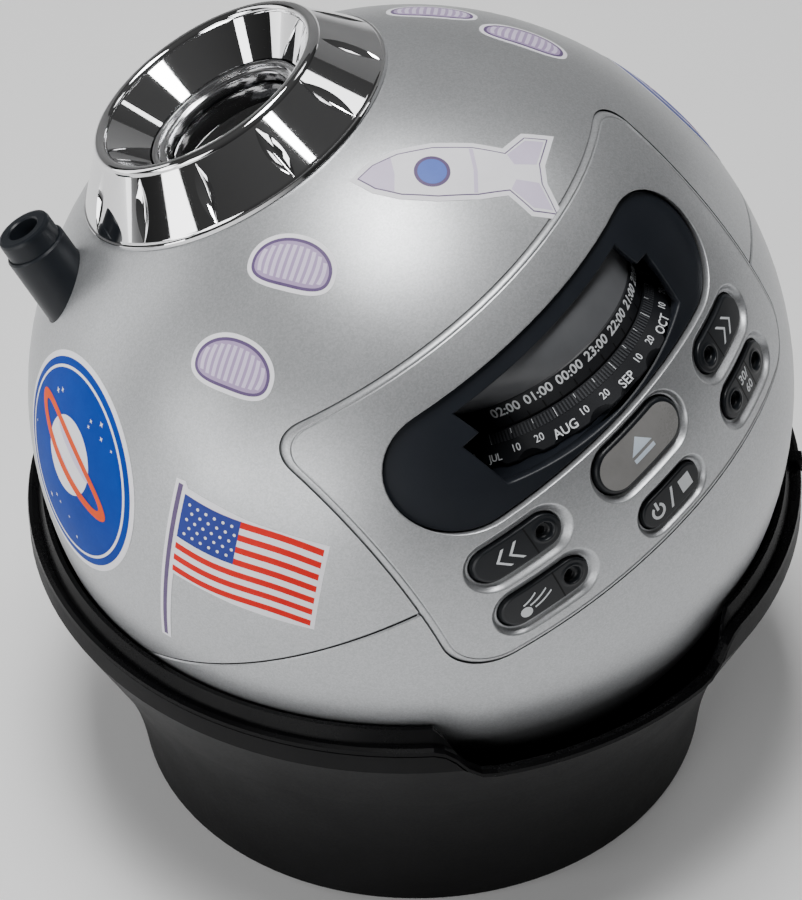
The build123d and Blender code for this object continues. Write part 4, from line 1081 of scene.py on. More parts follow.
class RingHollow(Edge):
    """A round finger hollow with a raised ring about it and a deeper dark middle."""

    RADIUS = 1.9
    STEPS = (
        (0.85, 0.0), (0.6, 0.02), (0.4, 0.13), (0.2, 0.18), (0.02, 0.12), (-0.08, -0.1), (-0.14, -0.7),
        (-0.3, -1.25), (-0.75, -1.35), (-0.95, -1.3), (-1.05, -1.45), (-1.1, -2.3),
    )

    def __init__(self, x: float, z: float) -> None:
        """Puts the hollow at a place in the panel's plane."""
        super().__init__(Outline.disc(x, z, self.RADIUS, 28), self.STEPS, True)


@dataclass(frozen=True)
class PushButton:
    """One push button: its cap, finger hollows and printed sign.

    `round` is the radius of its edge, and `dish` the width of the recess that slopes down to it.
    """

    node: str
    body: str
    x: float
    z: float
    half_length: float
    half_height: float
    finish: Finish
    dimples: tuple
    sign: Callable
    ink: Finish = Look.INK
    round: float = 0.55
    dish: float = 1.75
    radius: float = BALL_RADIUS
    flange: float = 0.8
    flange_top: float = -2.5
    foot: float = -4.4
    stem_radius: float = 2.0
    stem_low: float = 60.5
    stem_high: float = 75.2
    groove_off: float = 3.1
    groove_half: float = 0.16
    groove_end: float = 0.25

    def cap(self) -> Shape:
        """The cap with its retaining flange underneath.

        Returns:
            The closed shape; the warm cap's sides have the dark finish of the other buttons.
        """
        under = ((0.0, self.flange_top), (self.flange, self.flange_top), (self.flange, self.foot))
        outline = Outline.stadium(self.x, self.z, self.half_length, self.half_height)
        hollows = [RingHollow(self.x + shift, self.z) for shift in self.dimples]
        side = 2 if self.finish is Look.WARM else 0
        edge = Edge(outline, rolled(self.round, 5) + under)
        return Plate(FrontBall(self.radius), edge, self.foot - 0.05, hollows, 1.6, side).shape()

    def stem(self) -> Shape:
        """The round stem that presses the switch.

        Returns:
            The stem, turned from upright to point along -Y at the button's middle.
        """
        low, high = self.stem_low, self.stem_high
        body = lathe([(0.0, low), (self.stem_radius, low), (self.stem_radius, high), (0.0, high)], 24)
        x, y, z = body.points.T
        depth = np.sqrt(self.radius**2 - self.x**2 - self.z**2) - self.radius
        body.points = np.stack([x + self.x, -(z + depth), y + self.z], 1)
        return body

    def groove(self, shift: float) -> Shape:
        """The thin dark line between the sign and a finger hollow: painted shade in place of the shadow in
        the groove there.

        Args:
            shift: the hollow's place along the button.

        Returns:
            The line's shape.
        """
        at = self.x + shift - np.sign(shift) * self.groove_off
        reach = self.half_height - self.groove_end
        left, right = at - self.groove_half, at + self.groove_half
        low, high = self.z - reach, self.z + reach
        line = [(left, low), (right, low), (right, high), (left, high)]
        # Painted shade: the groove is a flat dark print, not cut into the cap.
        return print_on(FrontBall(self.radius), line, 0.015, -0.03, 2.0).marked(1)

    def build(self) -> None:
        """Adds the button's cap and its print."""
        parts = [self.cap(), weld(self.stem()).marked(0)] + [self.groove(shift) for shift in self.dimples]
        finishes = [self.finish, Look.DARK_LINES_AND_SHADE, Look.BUTTON]
        add_piece(f"{self.node}_cap", Shape.join(parts), finishes, self.body, [self.node])
        drawn = self.sign(FrontBall(self.radius, (self.x, self.z)))
        add_piece(f"{self.node}_sign", Shape.join(drawn), [self.ink], self.body)


class Way(Enum):
    """Which way a pair of arrow heads points."""

    LEFT = -1
    RIGHT = 1


class Signs:
    """The generic signs printed on the buttons, drawn about a button's middle."""

    LEVEL = 0.05

    @classmethod
    def chevrons(cls, way: Way, middle: float) -> Callable:
        """Two arrow heads.

        Args:
            way: the way that they point.
            middle: how far right of the button's middle they stand.

        Returns:
            A function that draws them on a surface.
        """
        def draw(surface: Surface) -> list:
            """Draws both arrow heads.

            Args:
                surface: where they lie.

            Returns:
                Their shapes.
            """
            shapes = []
            for shift in (-1.35, 1.35):
                tip = middle + shift + way.value * 1.15
                back = middle + shift - way.value * 1.15
                notch, nose, heel = back + way.value * 0.62, tip + way.value * 0.3, tip - way.value * 0.32
                bar = [(back, 2.1), (notch, 2.1), (nose, 0.0), (notch, -2.1), (back, -2.1), (heel, 0.0)]
                shapes.append(print_on(surface, bar, cls.LEVEL))
            return shapes
        return draw

    @classmethod
    def eject(cls, surface: Surface) -> list:
        """A triangle over a bar.

        Args:
            surface: where they lie.

        Returns:
            Their shapes.
        """
        triangle = [(-2.9, -0.4), (2.9, -0.4), (0.0, 2.75)]
        bar = [(-2.9, -2.1), (2.9, -2.1), (2.9, -1.15), (-2.9, -1.15)]
        return [print_on(surface, drawing, cls.LEVEL) for drawing in (triangle, bar)]

    @classmethod
    def power(cls, surface: Surface) -> list:
        """An open ring with a stroke, a slash and a square.

        Args:
            surface: where they lie.

        Returns:
            Their shapes.
        """
        ring = arc((-4.3, -0.15), 1.75, 125, 415, 26) + arc((-4.3, -0.15), 1.15, 415, 125, 26)
        stroke = [(-4.6, 0.1), (-4.0, 0.1), (-4.0, 2.1), (-4.6, 2.1)]
        slash = [(-1.35, -2.1), (-0.75, -2.1), (0.85, 2.1), (0.25, 2.1)]
        square = [(2.4, -1.6), (5.6, -1.6), (5.6, 1.6), (2.4, 1.6)]
        return [print_on(surface, drawing, cls.LEVEL, step=0.8) for drawing in (ring, stroke, slash, square)]

    @classmethod
    def meteor(cls, surface: Surface) -> list:
        """A ball with three thin tails that bend up to the right.

        At the share t of a tail's length it has risen by its rise times 0.35 t + 0.65 t^2.

        Args:
            surface: where they lie.

        Returns:
            Their shapes.
        """
        shapes = [print_on(surface, arc((-5.0, -1.35), 1.15, 0, 345, 24), cls.LEVEL)]
        t, half = np.linspace(0, 1, 9), 0.17
        tails = (((-5.0, 0.4), 3.0, 1.35), ((-3.9, -0.35), 4.0, 1.6), ((-3.2, -1.35), 4.0, 1.45))
        for start, length, rise in tails:
            u = start[0] + t * length
            v = start[1] + rise * (0.35 * t + 0.65 * t**2)
            tail = list(zip(u, v - half)) + list(zip(u[::-1], v[::-1] + half))
            shapes.append(print_on(surface, tail, cls.LEVEL, step=0.3))
        return shapes

    @staticmethod
    def minutes(surface: Surface) -> list:
        """The two timer settings, one over the other across a slash.

        Args:
            surface: where they lie.

        Returns:
            Their shapes.
        """
        style = {"bold": 0.01, "slant": 0.1, "width": 0.9}
        lines = (("30/", 2.1, (-0.2, 1.4)), ("60", 2.0, (0.1, -1.5)))
        return [Lettering.on(surface, *line, **style) for line in lines]


@dataclass
class ControlPanel:
    """The raised silver panel with its drawer opening and dished button recesses.

    `border` and `lip` are the steps of its outer edge and of the drawer opening's edge.
    """

    radius: float = 80.4
    wall: float = 2.5
    half_width: float = 51.0
    bottom: float = -19.6
    top: float = 43.5
    low_corner: float = 10.0
    top_corner: float = 7.0
    dish_depth: float = 1.45
    play: float = 0.35
    border: tuple = (
        (-1.2, 0.0), (-1.1, -0.09), (-1.0, -0.16), (-0.92, -0.15), (-0.82, -0.05),
        (-0.68, -0.01), (-0.48, -0.05), (-0.28, -0.16), (-0.12, -0.34), (0.0, -0.62),
    )
    lip: tuple = ((0.75, 0.0), (0.6, -0.03), (0.47, -0.13), (0.4, -0.35))

    def dish(self, button: PushButton) -> Edge:
        """The recess round a button: a soft shoulder, a hollow slope and a level ring at its foot.

        At the share s of the way down to the button, the drop is the depth times
        (3 s^2 - 2 s^3)^0.9.

        Args:
            button: the button that stands in it.

        Returns:
            The cut's outline and steps.
        """
        share = np.linspace(0, 1, 9)
        offset = self.play + 0.2 + button.dish * (1 - share)
        drop = self.dish_depth * (3 * share**2 - 2 * share**3) ** 0.9
        steps = tuple(zip(offset, -drop)) + ((self.play, -self.dish_depth - 0.02),)
        return Edge(Outline.stadium(button.x, button.z, button.half_length, button.half_height), steps)

    def build(self, buttons: Iterable[PushButton]) -> None:
        """Adds the panel with one recess for each button.

        Args:
            buttons: the buttons that stand in it.
        """
        outline = Outline.rounded(self.half_width, self.bottom, self.top, self.low_corner, self.top_corner)
        cuts = [Edge(Outline.stadium(*DRAWER), self.lip)] + [self.dish(button) for button in buttons]
        plate = Plate(FrontBall(self.radius), Edge(outline, self.border), -self.wall, cuts, 2.6).shape()
        add_piece("panel_cover", plate, [Look.SILVER], "globe", ["control_panel"])


@dataclass
class DrawerFront:
    """The dark drawer front with the window, its thin lip and the slotted corners.

    `left` and `right` are the window's corners from the top down, `low` the lowest point of its
    lower edge, and `level` the heights between which the turning dial needs its room.
    """

    radius: float = 79.1
    wall: float = 2.5
    left: tuple = ((-24.2, 30.9), (-23.0, 25.3), (-27.0, 24.9), (-25.1, 14.1))
    right: tuple = ((24.5, 30.9), (25.5, 25.3), (29.0, 24.7), (27.6, 13.6))
    low: tuple = (6.5, 10.2)
    lip: tuple = ((0.45, 0.0), (0.33, -0.03), (0.15, -0.14), (0.0, -0.4))
    round: float = 0.2
    dial_room: float = 31.6
    thinnest: float = 0.4
    level: tuple = (8.5, 19.4)

    def window(self) -> Outline:
        """The window: straight slotted ends and an arc through its lowest point.

        The arc's centre is that of the circle through the three points a, b and c.

        Returns:
            The outline.
        """
        (ax, ay), (bx, by), (cx, cy) = self.left[-1], self.low, self.right[-1]
        a2, b2, c2 = ax**2 + ay**2, bx**2 + by**2, cx**2 + cy**2
        d = 2 * (ax * (by - cy) + bx * (cy - ay) + cx * (ay - by))
        ux = (a2 * (by - cy) + b2 * (cy - ay) + c2 * (ay - by)) / d
        uy = (a2 * (cx - bx) + b2 * (ax - cx) + c2 * (bx - ax)) / d
        first = np.degrees(np.arctan2(ay - uy, ax - ux)) % 360
        last = np.degrees(np.arctan2(cy - uy, cx - ux)) % 360
        lower = arc((ux, uy), np.hypot(ax - ux, ay - uy), first, last, 40)
        return Outline.through(lower + list(reversed(self.right[:-1])) + list(self.left[:-1]), 2.0)

    def cleared(self, points: np.ndarray) -> np.ndarray:
        """Moves the wall's inner points forwards out of the turning dial's room.

        Inside the room, y becomes the room's own front, y0 - sqrt(r^2 - (x - x0)^2), but stays
        `thinnest` behind the drawer's face.

        Args:
            points: (n, 3) array.

        Returns:
            (n, 3) array.
        """
        x, y, z = points.T
        off = x - DIAL_AXIS[0]
        room = DIAL_AXIS[1] - np.sqrt(np.maximum(self.dial_room**2 - off**2, 0))
        face = self.thinnest - np.sqrt(np.maximum(self.radius**2 - x**2 - z**2, 0))
        held = (z > self.level[0]) & (z < self.level[1]) & (np.abs(off) < self.dial_room)
        return np.stack([x, np.where(held, np.minimum(y, np.maximum(room, face)), y), z], 1)

    def build(self) -> None:
        """Adds the front."""
        edge = Edge(Outline.stadium(*DRAWER), rolled(self.round, 3))
        plate = Plate(FrontBall(self.radius), edge, -self.wall, [Edge(self.window(), self.lip)], 2.2).shape()
        plate.points = self.cleared(plate.points)
        add_piece("drawer_cover", plate, [Look.SLATE], "drawer", ["drawer_front"])


@dataclass
class DateDial:
    """The hour drum with its sloping shade, and the prints, ribs and ticks of drum and date dial.

    Angles are degrees from -Y towards +X, and the `turn`s are those of the first marks. Ticks,
    rail, ribs and lines are (half width, lower end, upper end) on their wall, and the last two
    also hold their height above it. The rail is painted shade: a dark band along the foot of the
    drum wall, where the drum meets the date dial.
    """

    drum_radius: float = 27.2
    drum_low: float = 17.4
    drum_top: float = 22.9
    cone_radius: float = 31.2
    cone_low: float = 11.6
    cone_top: float = 17.0
    hour_step: float = 15.6
    hour_turn: float = 0.6
    date_turn: float = 1.2
    hours: tuple = ("02:00", "01:00", "00:00", "23:00", "22:00", "21:00", "20:00")
    months: tuple = ("JAN", "FEB", "MAR", "APR", "MAY", "JUN", "JUL", "AUG", "SEP", "OCT", "NOV", "DEC")
    days: tuple = ((10.0, "10"), (19.7, "20"))
    hour_size: float = 2.25
    hour_at: tuple = (0.0, 3.75)
    month_size: float = 1.95
    month_at: tuple = (0.0, 1.5)
    day_size: float = 1.55
    day_at: tuple = (0.0, 2.5)
    long_tick: tuple = (0.15, 0.1, 1.9)
    short_tick: tuple = (0.1, 0.1, 1.4)
    # painted shade: a dark band along the foot of the drum wall
    painted_shade_rail: tuple = (1.4, 0.0, 0.22)
    rib: tuple = (0.17, 4.35, 6.45, 0.16)
    long_line: tuple = (0.05, 4.4, 6.45, 0.19)
    short_line: tuple = (0.05, 5.5, 6.45, 0.19)
    shade_turn: tuple = (-66, 60)
    shade_side: tuple = (-25.2, 25.4)
    shade_top: float = 31.3
    shade_radius: float = 77.6
    shade_bow: float = 0.35
    shade_wall: float = 0.7

    def drum(self, angle: float) -> Taper:
        """The drum's upright wall at an angle."""
        return Taper(DIAL_AXIS, self.drum_radius, self.drum_low, self.drum_radius, self.drum_top, angle)

    def cone(self, angle: float) -> Taper:
        """The dial's sloping face at an angle."""
        return Taper(DIAL_AXIS, self.cone_radius, self.cone_low, self.drum_radius, self.cone_top, angle)

    @staticmethod
    def bar(surface: Taper, half: float, low: float, high: float, level: float = 0.05) -> Shape:
        """A thin upright bar on a wall."""
        return print_on(surface, [(-half, low), (half, low), (half, high), (-half, high)], level, step=4.0)

    def shade(self, rows: int = 12, cols: int = 72) -> Shape:
        """The dark shade between the drum's top edge and the window's upper edge.

        A point runs straight from the drum's edge to the matching point of the window's edge,
        eased a little outwards in the middle; a second layer further in closes the body. Its finish
        holds painted light: a lighter colour in place of light falling on it.

        Args:
            rows: points up the slope.
            cols: points along it.

        Returns:
            The closed shape.
        """
        turn, radius = np.radians(np.linspace(*self.shade_turn, cols)), self.drum_radius - 0.25
        x, y = DIAL_AXIS[0] + radius * np.sin(turn), DIAL_AXIS[1] - radius * np.cos(turn)
        low = np.stack([x, y, np.full(cols, self.drum_top - 0.05)], 1)
        x, z = np.linspace(*self.shade_side, cols), self.shade_top
        high = np.stack([x, -np.sqrt(self.shade_radius**2 - x**2 - z**2), np.full(cols, z)], 1)
        t = np.linspace(0, 1, rows)[:, None, None]
        skin = low * (1 - t) + high * t
        out = skin / np.linalg.norm(skin, axis=-1, keepdims=True)
        skin = skin + out * self.shade_bow * np.sin(t * np.pi)
        inner = skin - out * self.shade_wall
        faces, count = quads(rows, cols, False), rows * cols
        number = np.arange(count).reshape(rows, cols)
        rim = np.concatenate([number[0], number[1:, -1], number[-1, -2::-1], number[-2:0:-1, 0]])
        after = np.roll(rim, -1)
        side = np.stack([after, rim, rim + count, after + count], 1)
        points = np.concatenate([skin.reshape(-1, 3), inner.reshape(-1, 3)])
        return Shape(points, np.concatenate([faces, faces[:, ::-1] + count, side]).tolist())

    def hour_marks(self) -> tuple:
        """The hours, and the ticks and rail marks above and below them; the rail is painted shade.

        Returns:
            The numbers' shapes and the ticks' shapes.
        """
        numbers = []
        for index, label in enumerate(self.hours):
            wall = self.drum((index - 3) * self.hour_step + self.hour_turn)
            numbers.append(Lettering.on(wall, label, self.hour_size, self.hour_at, bold=0.015, width=0.93))
        ticks = []
        for half in range(-8, 8):
            wall = self.drum(half * self.hour_step / 2 + self.hour_turn)
            ticks.append(self.bar(wall, *(self.short_tick if half % 2 else self.long_tick)))
        # Dark bars that overlap into one band along the foot of the drum wall: painted shade where the drum
        # meets the dial.
        ticks += [self.bar(self.drum(angle), *self.painted_shade_rail) for angle in np.arange(-72, 73, 5.0)]
        return numbers, ticks

    def date_marks(self) -> list:
        """The months and the day numbers.

        Returns:
            Their shapes.
        """
        marks = []
        for index, month in enumerate(self.months):
            angle = (index - 8) * 30.0 + self.date_turn
            wall = self.cone(angle)
            marks.append(Lettering.on(wall, month, self.month_size, self.month_at, bold=0.01, width=0.95))
            for part, number in self.days:
                wall = self.cone(angle + part)
                marks.append(Lettering.on(wall, number, self.day_size, self.day_at, bold=0.005, width=0.95))
        return marks

    def build(self) -> None:
        """Adds the shade, the hours, the months, the day numbers, the ribs and the ticks."""
        numbers, ticks = self.hour_marks()
        ribs = [self.bar(self.cone(step * 1.5), *self.rib) for step in range(240)]
        lines = []
        for step in range(36):
            wall = self.cone(step * 10.0 + self.date_turn)
            lines.append(self.bar(wall, *(self.short_line if step % 3 else self.long_line)))
        # The hour shade's finish is painted light: a lighter colour in place of light falling on it.
        add_piece("hour_shade", self.shade(), [Look.SHADE_PAINTED_LIGHT], "drawer")
        add_piece("hour_numbers", Shape.join(numbers), [Look.INK], "drawer")
        # Printed hour ticks, together with the band of painted shade at the drum's foot.
        add_piece("hour_ticks_and_shade_band", Shape.join(ticks), [Look.DARK_LINES_AND_SHADE], "drawer")
        add_piece("date_numbers", Shape.join(self.date_marks()), [Look.INK], "dial")
        add_piece("date_ribs", Shape.join(ribs), [Look.RIB], "dial")
        add_piece("date_lines", Shape.join(lines), [Look.INK], "dial")


@dataclass
class FocusRing:
    """The chromed ring: cone with leaf-shaped finger hollows, rounded lip and funnel.

    A leaf is 2 * grip_half long and 2 * grip_wide wide, and its middle lies `grip_drop` below the
    cone's. The columns within `grip_share` of a pitch from its middle are the ones that are drawn
    in to its edges, to no less than `grip_least` from its middle line. Points within `skin` of the
    cone's line belong to it.
    """

    foot: float = 35.3
    foot_z: float = 71.95
    band: float = 1.0
    shoulder: float = 75.0
    lip: float = 26.3
    lip_inner: float = 23.5
    lip_z: float = 85.0
    lip_round: float = 1.4
    bore: float = 17.6
    funnel_z: float = 76.4
    bottom: float = 69.2
    spigot: float = 29.6
    grips: int = 12
    grip_half: float = 6.4
    grip_wide: float = 1.75
    grip_deep: float = 1.0
    grip_share: float = 0.25
    grip_least: float = 0.35
    grip_drop: float = 0.3
    grip_columns: int = 48
    skin: float = 0.6

    def cone(self) -> tuple:
        """The (radius, height) of the cone's lower and upper edge."""
        low = (self.foot - 0.6, self.foot_z + self.band + 0.5)
        return np.array(low), np.array((self.lip, self.lip_z - self.lip_round))

    def profile(self) -> list:
        """The ring's section, walked up the outside and down the inside.

        Returns:
            A list of (radius, height) corners.
        """
        low, top = self.cone()
        band_z = self.foot_z + self.band
        foot = [
            (self.spigot, self.bottom), (self.spigot, self.shoulder), (self.foot - 0.15, self.foot_z),
            (self.foot, self.foot_z + 0.15), (self.foot, band_z - 0.1), (self.foot - 0.1, band_z + 0.05),
            (self.foot - 0.5, band_z + 0.15),
        ]
        slope = [tuple(low + (top - low) * t) for t in np.linspace(0, 1, 57)]
        lip = arc(((self.lip + self.lip_inner) / 2, top[1]), self.lip_round, 0, 180, 15)[1:]
        start, end = np.array(lip[-1]), np.array((self.bore, self.funnel_z))
        funnel = [tuple(start + (end - start) * t) for t in np.linspace(0, 1, 8)][1:]
        return foot + slope + lip + funnel + [(self.bore, self.bottom)]

    def leaf(self, angle: np.ndarray, radius: np.ndarray, height: np.ndarray) -> tuple:
        """Sinks the finger hollows into the cone.

        Along the slope the leaf's half width w falls off as 1 - (s / half length)^2. The columns
        nearest a leaf's middle are drawn in so that one of them runs down each of its edges, and
        across it the depth falls off as 1 - (u / w)^1.5.

        Args:
            angle: (rows, columns) array of angles.
            radius: array of radii.
            height: array of heights.

        Returns:
            The three arrays anew.
        """
        low, top = self.cone()
        (run, rise), middle = (low - top) * (1, -1), (low + top) / 2 - (0, self.grip_drop)
        slant = np.hypot(run, rise)
        along = ((height - middle[1]) * rise - (radius - middle[0]) * run) / slant
        off = np.abs(((height - middle[1]) * run + (radius - middle[0]) * rise) / slant)
        on_cone = off < self.skin
        pitch = 2 * np.pi / self.grips
        share = (angle / pitch) % 1.0 - 0.5
        wide = self.grip_wide * np.maximum(1 - (along / self.grip_half) ** 2, 0)
        span = np.where(on_cone, np.maximum(wide, self.grip_least), self.grip_wide) / (pitch * radius)
        held = self.grip_share
        beyond = span + (np.abs(share) - held) / (0.5 - held) * (0.5 - span)
        moved = np.where(np.abs(share) <= held, share / held * span, np.sign(share) * beyond)
        inner = np.maximum(1 - np.abs(moved * pitch * radius / np.maximum(wide, 0.02)) ** 1.5, 0)
        sink = np.where((wide > 0.02) & on_cone, inner * self.grip_deep * wide / self.grip_wide, 0)
        return angle + (moved - share) * pitch, radius - sink * rise / slant, height - sink * run / slant

    def build(self) -> None:
        """Adds the ring."""
        ring = lathe(self.profile(), self.grips * self.grip_columns, self.leaf)
        add_piece("focus_ring_chrome", ring, [Look.CHROME], "ring", ["focus_ring"], 24.0)


@dataclass
class LensTrim:
    """The bright stepped ring that holds the front lens.

    `steps` are (inset, drop) pairs from its outer top corner, down to the glass.
    """

    outer: float = 17.25
    bore: float = 14.5
    top: float = 76.4
    foot: float = 1.3
    round: float = 0.3
    steps: tuple = (
        (1.0, 0.0), (1.3, 0.1), (1.45, 0.9), (1.6, 1.0), (2.7, 1.05), (2.85, 1.2), (3.1, 2.3), (3.1, 2.9),
    )

    def build(self) -> None:
        """Adds the ring: two rounded steps down to the glass."""
        corner = arc((self.outer - self.round, self.top - self.round), self.round, 0, 90, 8)
        steps = [(self.outer - inset, self.top - drop) for inset, drop in self.steps]
        back = [(self.bore, self.top - self.steps[-1][1]), (self.bore, self.top - self.foot - 0.03)]
        ring = lathe([(self.outer, self.top - self.foot), *corner, *steps, *back], 160)
        add_piece("lens_trim", weld(ring), [Look.TRIM], "barrel", ["lens_retainer"])


@dataclass
class BallSeam:
    """The dark joint line at the foot of the V groove.

    It runs from one side of the panel round the back to the other.
    """

    inner: float = 79.55
    outer: float = 79.72
    inner_half: float = 0.06
    outer_half: float = 0.2
    start: float = 40.4

    def build(self, steps: int = 240) -> None:
        """Adds the line: a flat four-sided section swept about the ball's axis.

        Args:
            steps: sections along it.
        """
        angle = np.radians(np.linspace(self.start, 360 - self.start, steps))[:, None]
        radius = np.array([self.inner, self.outer, self.outer, self.inner])
        height = np.array([-self.inner_half, -self.outer_half, self.outer_half, self.inner_half])
        rows = [radius * np.sin(angle), -radius * np.cos(angle), np.broadcast_to(height, (steps, 4))]
        last = 4 * steps - 1
        ends = [[0, 1, 2, 3], [last, last - 1, last - 2, last - 3]]
        faces = quads(steps, 4, True)[:, ::-1].tolist() + ends
        add_piece("ball_seam", Shape(np.stack(rows, -1).reshape(-1, 3), faces), [Look.DARK_LINES_AND_SHADE], "globe")


@dataclass(frozen=True)
class Sticker:
    """A vinyl sticker: white border and generic coloured layers, at a place on the ball."""

    name: str
    towards: tuple
    turn: float
    layers: Callable
    film: float = 0.05
    spacing: float = 2.4

    def build(self) -> None:
        """Adds the sticker as one object with a finish for each colour."""
        surface = SideBall(BALL_RADIUS, self.towards, self.turn)
        finishes: list = []
        parts = []
        for finish, level, corners, holes in self.layers():
            if finish not in finishes:
                finishes.append(finish)
            layer = print_on(surface, corners, level, level - self.film, self.spacing, holes)
            parts.append(layer.marked(finishes.index(finish)))
        add_piece(self.name, Shape.join(parts), finishes, "globe", sharp=60.0)


class Artwork:
    """Generic motifs for the stickers, as layers of (finish, height, corners, openings)."""

    HEIGHTS = (0.06, 0.09, 0.12, 0.15, 0.18)

    @classmethod
    def layer(cls, finish: Finish, step: int, corners: Sequence, *openings: Sequence) -> tuple:
        """One layer at a step of HEIGHTS."""
        return finish, cls.HEIGHTS[step], corners, openings

    @staticmethod
    def oval(half_length: float, half_width: float, x: float = 0.0, y: float = 0.0, turn: float = 0.0,
             power: float = 2.0, count: int = 56) -> list:
        """A circle, an ellipse or, at a higher power, a rounded box.

        At the angle t, u is the half length times |cos t|^(2 / power), and v the half width times
        |sin t|^(2 / power), each with its sign.

        Args:
            half_length: half of its length.
            half_width: half of its width.
            x: its middle, across.
            y: its middle, upwards.
            turn: its turn in degrees.
            power: 2 for an ellipse.
            count: number of corners.

        Returns:
            A list of (u, v) corners.
        """
        t = np.linspace(0, 2 * np.pi, count, endpoint=False)
        u = half_length * np.sign(np.cos(t)) * np.abs(np.cos(t)) ** (2 / power)
        v = half_width * np.sign(np.sin(t)) * np.abs(np.sin(t)) ** (2 / power)
        c, s = np.cos(np.radians(turn)), np.sin(np.radians(turn))
        return list(zip(x + u * c - v * s, y + u * s + v * c))

    @staticmethod
    def star(at: tuple, size: float) -> list:
        """A four-pointed star.

        Args:
            at: its middle.
            size: its points' distance from the middle.

        Returns:
            A list of (u, v) corners.
        """
        reach = size * np.where(np.arange(8) % 2 == 0, 1.0, 0.36)
        angle = np.arange(8) * np.pi / 4
        return list(zip(at[0] + reach * np.cos(angle), at[1] + reach * np.sin(angle)))

    @classmethod
    def pill(cls) -> list:
        """A mauve bean with pale cross stripes inside a dark line and a white border.

        The bean is a rounded box whose middle line is lifted by 1.3 * (1 - (u / half length)^2).

        Returns:
            Its layers.
        """
        power, bow = 2.35, 1.3
        beans = ((Look.VINYL, 9.4, 5.9), (Look.PURPLE, 8.5, 5.0), (Look.MAUVE, 7.85, 4.35))
        layers = []
        for step, (finish, length, width) in enumerate(beans):
            box = np.array(cls.oval(length, width, power=power, count=72))
            box[:, 1] += bow * (1 - (box[:, 0] / length) ** 2)
            layers.append(cls.layer(finish, step, list(map(tuple, box))))
        t = np.linspace(-1, 1, 9)
        for u in np.linspace(-6.4, 6.4, 10):
            reach = 3.8 * (1 - abs(u / 7.7) ** power) ** (1 / power) - 0.2
            v = bow * (1 - (u / 8.2) ** 2) + reach * t
            bend = u + 0.5 * (1 - t * t) * u / 9
            stripe = list(zip(bend - 0.4, v)) + list(zip(bend[::-1] + 0.4, v[::-1]))
            layers.append(cls.layer(Look.LILAC, 3, stripe))
        return layers

    @classmethod
    def planet(cls) -> list:
        """A blue disc with a thin white circle, a banded planet with an orange ring, and stars.

        Returns:
            Its layers.
        """
        ring = cls.oval(16.5, 4.6, -1.5, 1.0, 18, count=72)
        gap = cls.oval(13.9, 2.9, -1.5, 1.2, 18, count=72)
        layers = [
            cls.layer(Look.VINYL, 0, cls.oval(23.2, 23.2, count=90)),
            cls.layer(Look.BLUE, 1, cls.oval(21.9, 21.9, count=90)),
            cls.layer(Look.VINYL, 2, cls.oval(20.3, 20.3, count=90), cls.oval(19.7, 19.7, count=90)),
            cls.layer(Look.VINYL, 2, cls.oval(8.4, 8.4, -1.5, 1.0)),
            cls.layer(Look.LILAC, 3, cls.oval(7.6, 1.1, -1.5, 3.6, 18, 2.6)),
            cls.layer(Look.LILAC, 3, cls.oval(7.4, 0.9, -1.2, -2.4, 18, 2.6)),
            cls.layer(Look.ORANGE, 4, ring, gap),
        ]
        rng = np.random.default_rng(7)
        angles, reaches, sizes = rng.uniform(0, 360, 16), rng.uniform(12, 18, 16), rng.uniform(0.28, 0.75, 16)
        for angle, reach, size in zip(angles, reaches, sizes):
            at = (reach * np.cos(np.radians(angle)), reach * np.sin(np.radians(angle)))
            if abs(at[1] - 0.32 * at[0]) > 6.5:    # clear of the planet's ring
                layers.append(cls.layer(Look.VINYL, 2, cls.star(at, size)))
        return layers

    @classmethod
    def pennant(cls) -> list:
        """A striped flag on a pole, its blue corner dotted.

        The cloth's lines wave by 0.45 times a sine of u with a length of 31.

        Returns:
            Its layers.
        """
        def wave(u: np.ndarray) -> np.ndarray:
            """The cloth's rise at u."""
            return 0.45 * np.sin((u + 14) * 2 * np.pi / 31 + np.pi)

        def band(u: np.ndarray, low: float, high: float) -> list:
            """A waved strip between two heights."""
            return list(zip(u, low + wave(u))) + list(zip(u[::-1], high + wave(u[::-1])))

        top, stripe, edge = 9.3, 1.4231, np.linspace(-14.0, 17.0, 15)
        border = [
            (-16.8, 11.6), (-14.6, 11.9), (-13.6, 10.7), (0.0, 9.9), (8.5, 10.2), (17.9, 10.5), (17.9, -9.9),
            (8.5, -10.3), (0.0, -10.5), (-13.7, -10.0), (-14.0, -29.6), (-16.4, -29.6),
        ]
        pole = [(-16.0, 10.9), (-14.9, 10.9), (-14.8, -28.9), (-15.7, -28.9)]
        layers = [cls.layer(Look.VINYL, 0, border), cls.layer(Look.PURPLE, 1, pole)]
        for row in range(13):
            finish = Look.RED if row % 2 == 0 else Look.VINYL
            layers.append(cls.layer(finish, 1, band(edge, top - (row + 1) * stripe, top - row * stripe)))
        layers.append(cls.layer(Look.NAVY, 2, band(edge[:7], -0.66, top)))
        for u in np.linspace(-12.4, -2.4, 6):
            for v, shift in ((0.9, 0.0), (2.6, 0.9), (4.3, 0.0), (6.0, 0.9), (7.7, 0.0)):
                dot = cls.oval(0.34, 0.34, u + shift, v + wave(u), count=10)
                layers.append(cls.layer(Look.VINYL, 3, dot))
        return layers

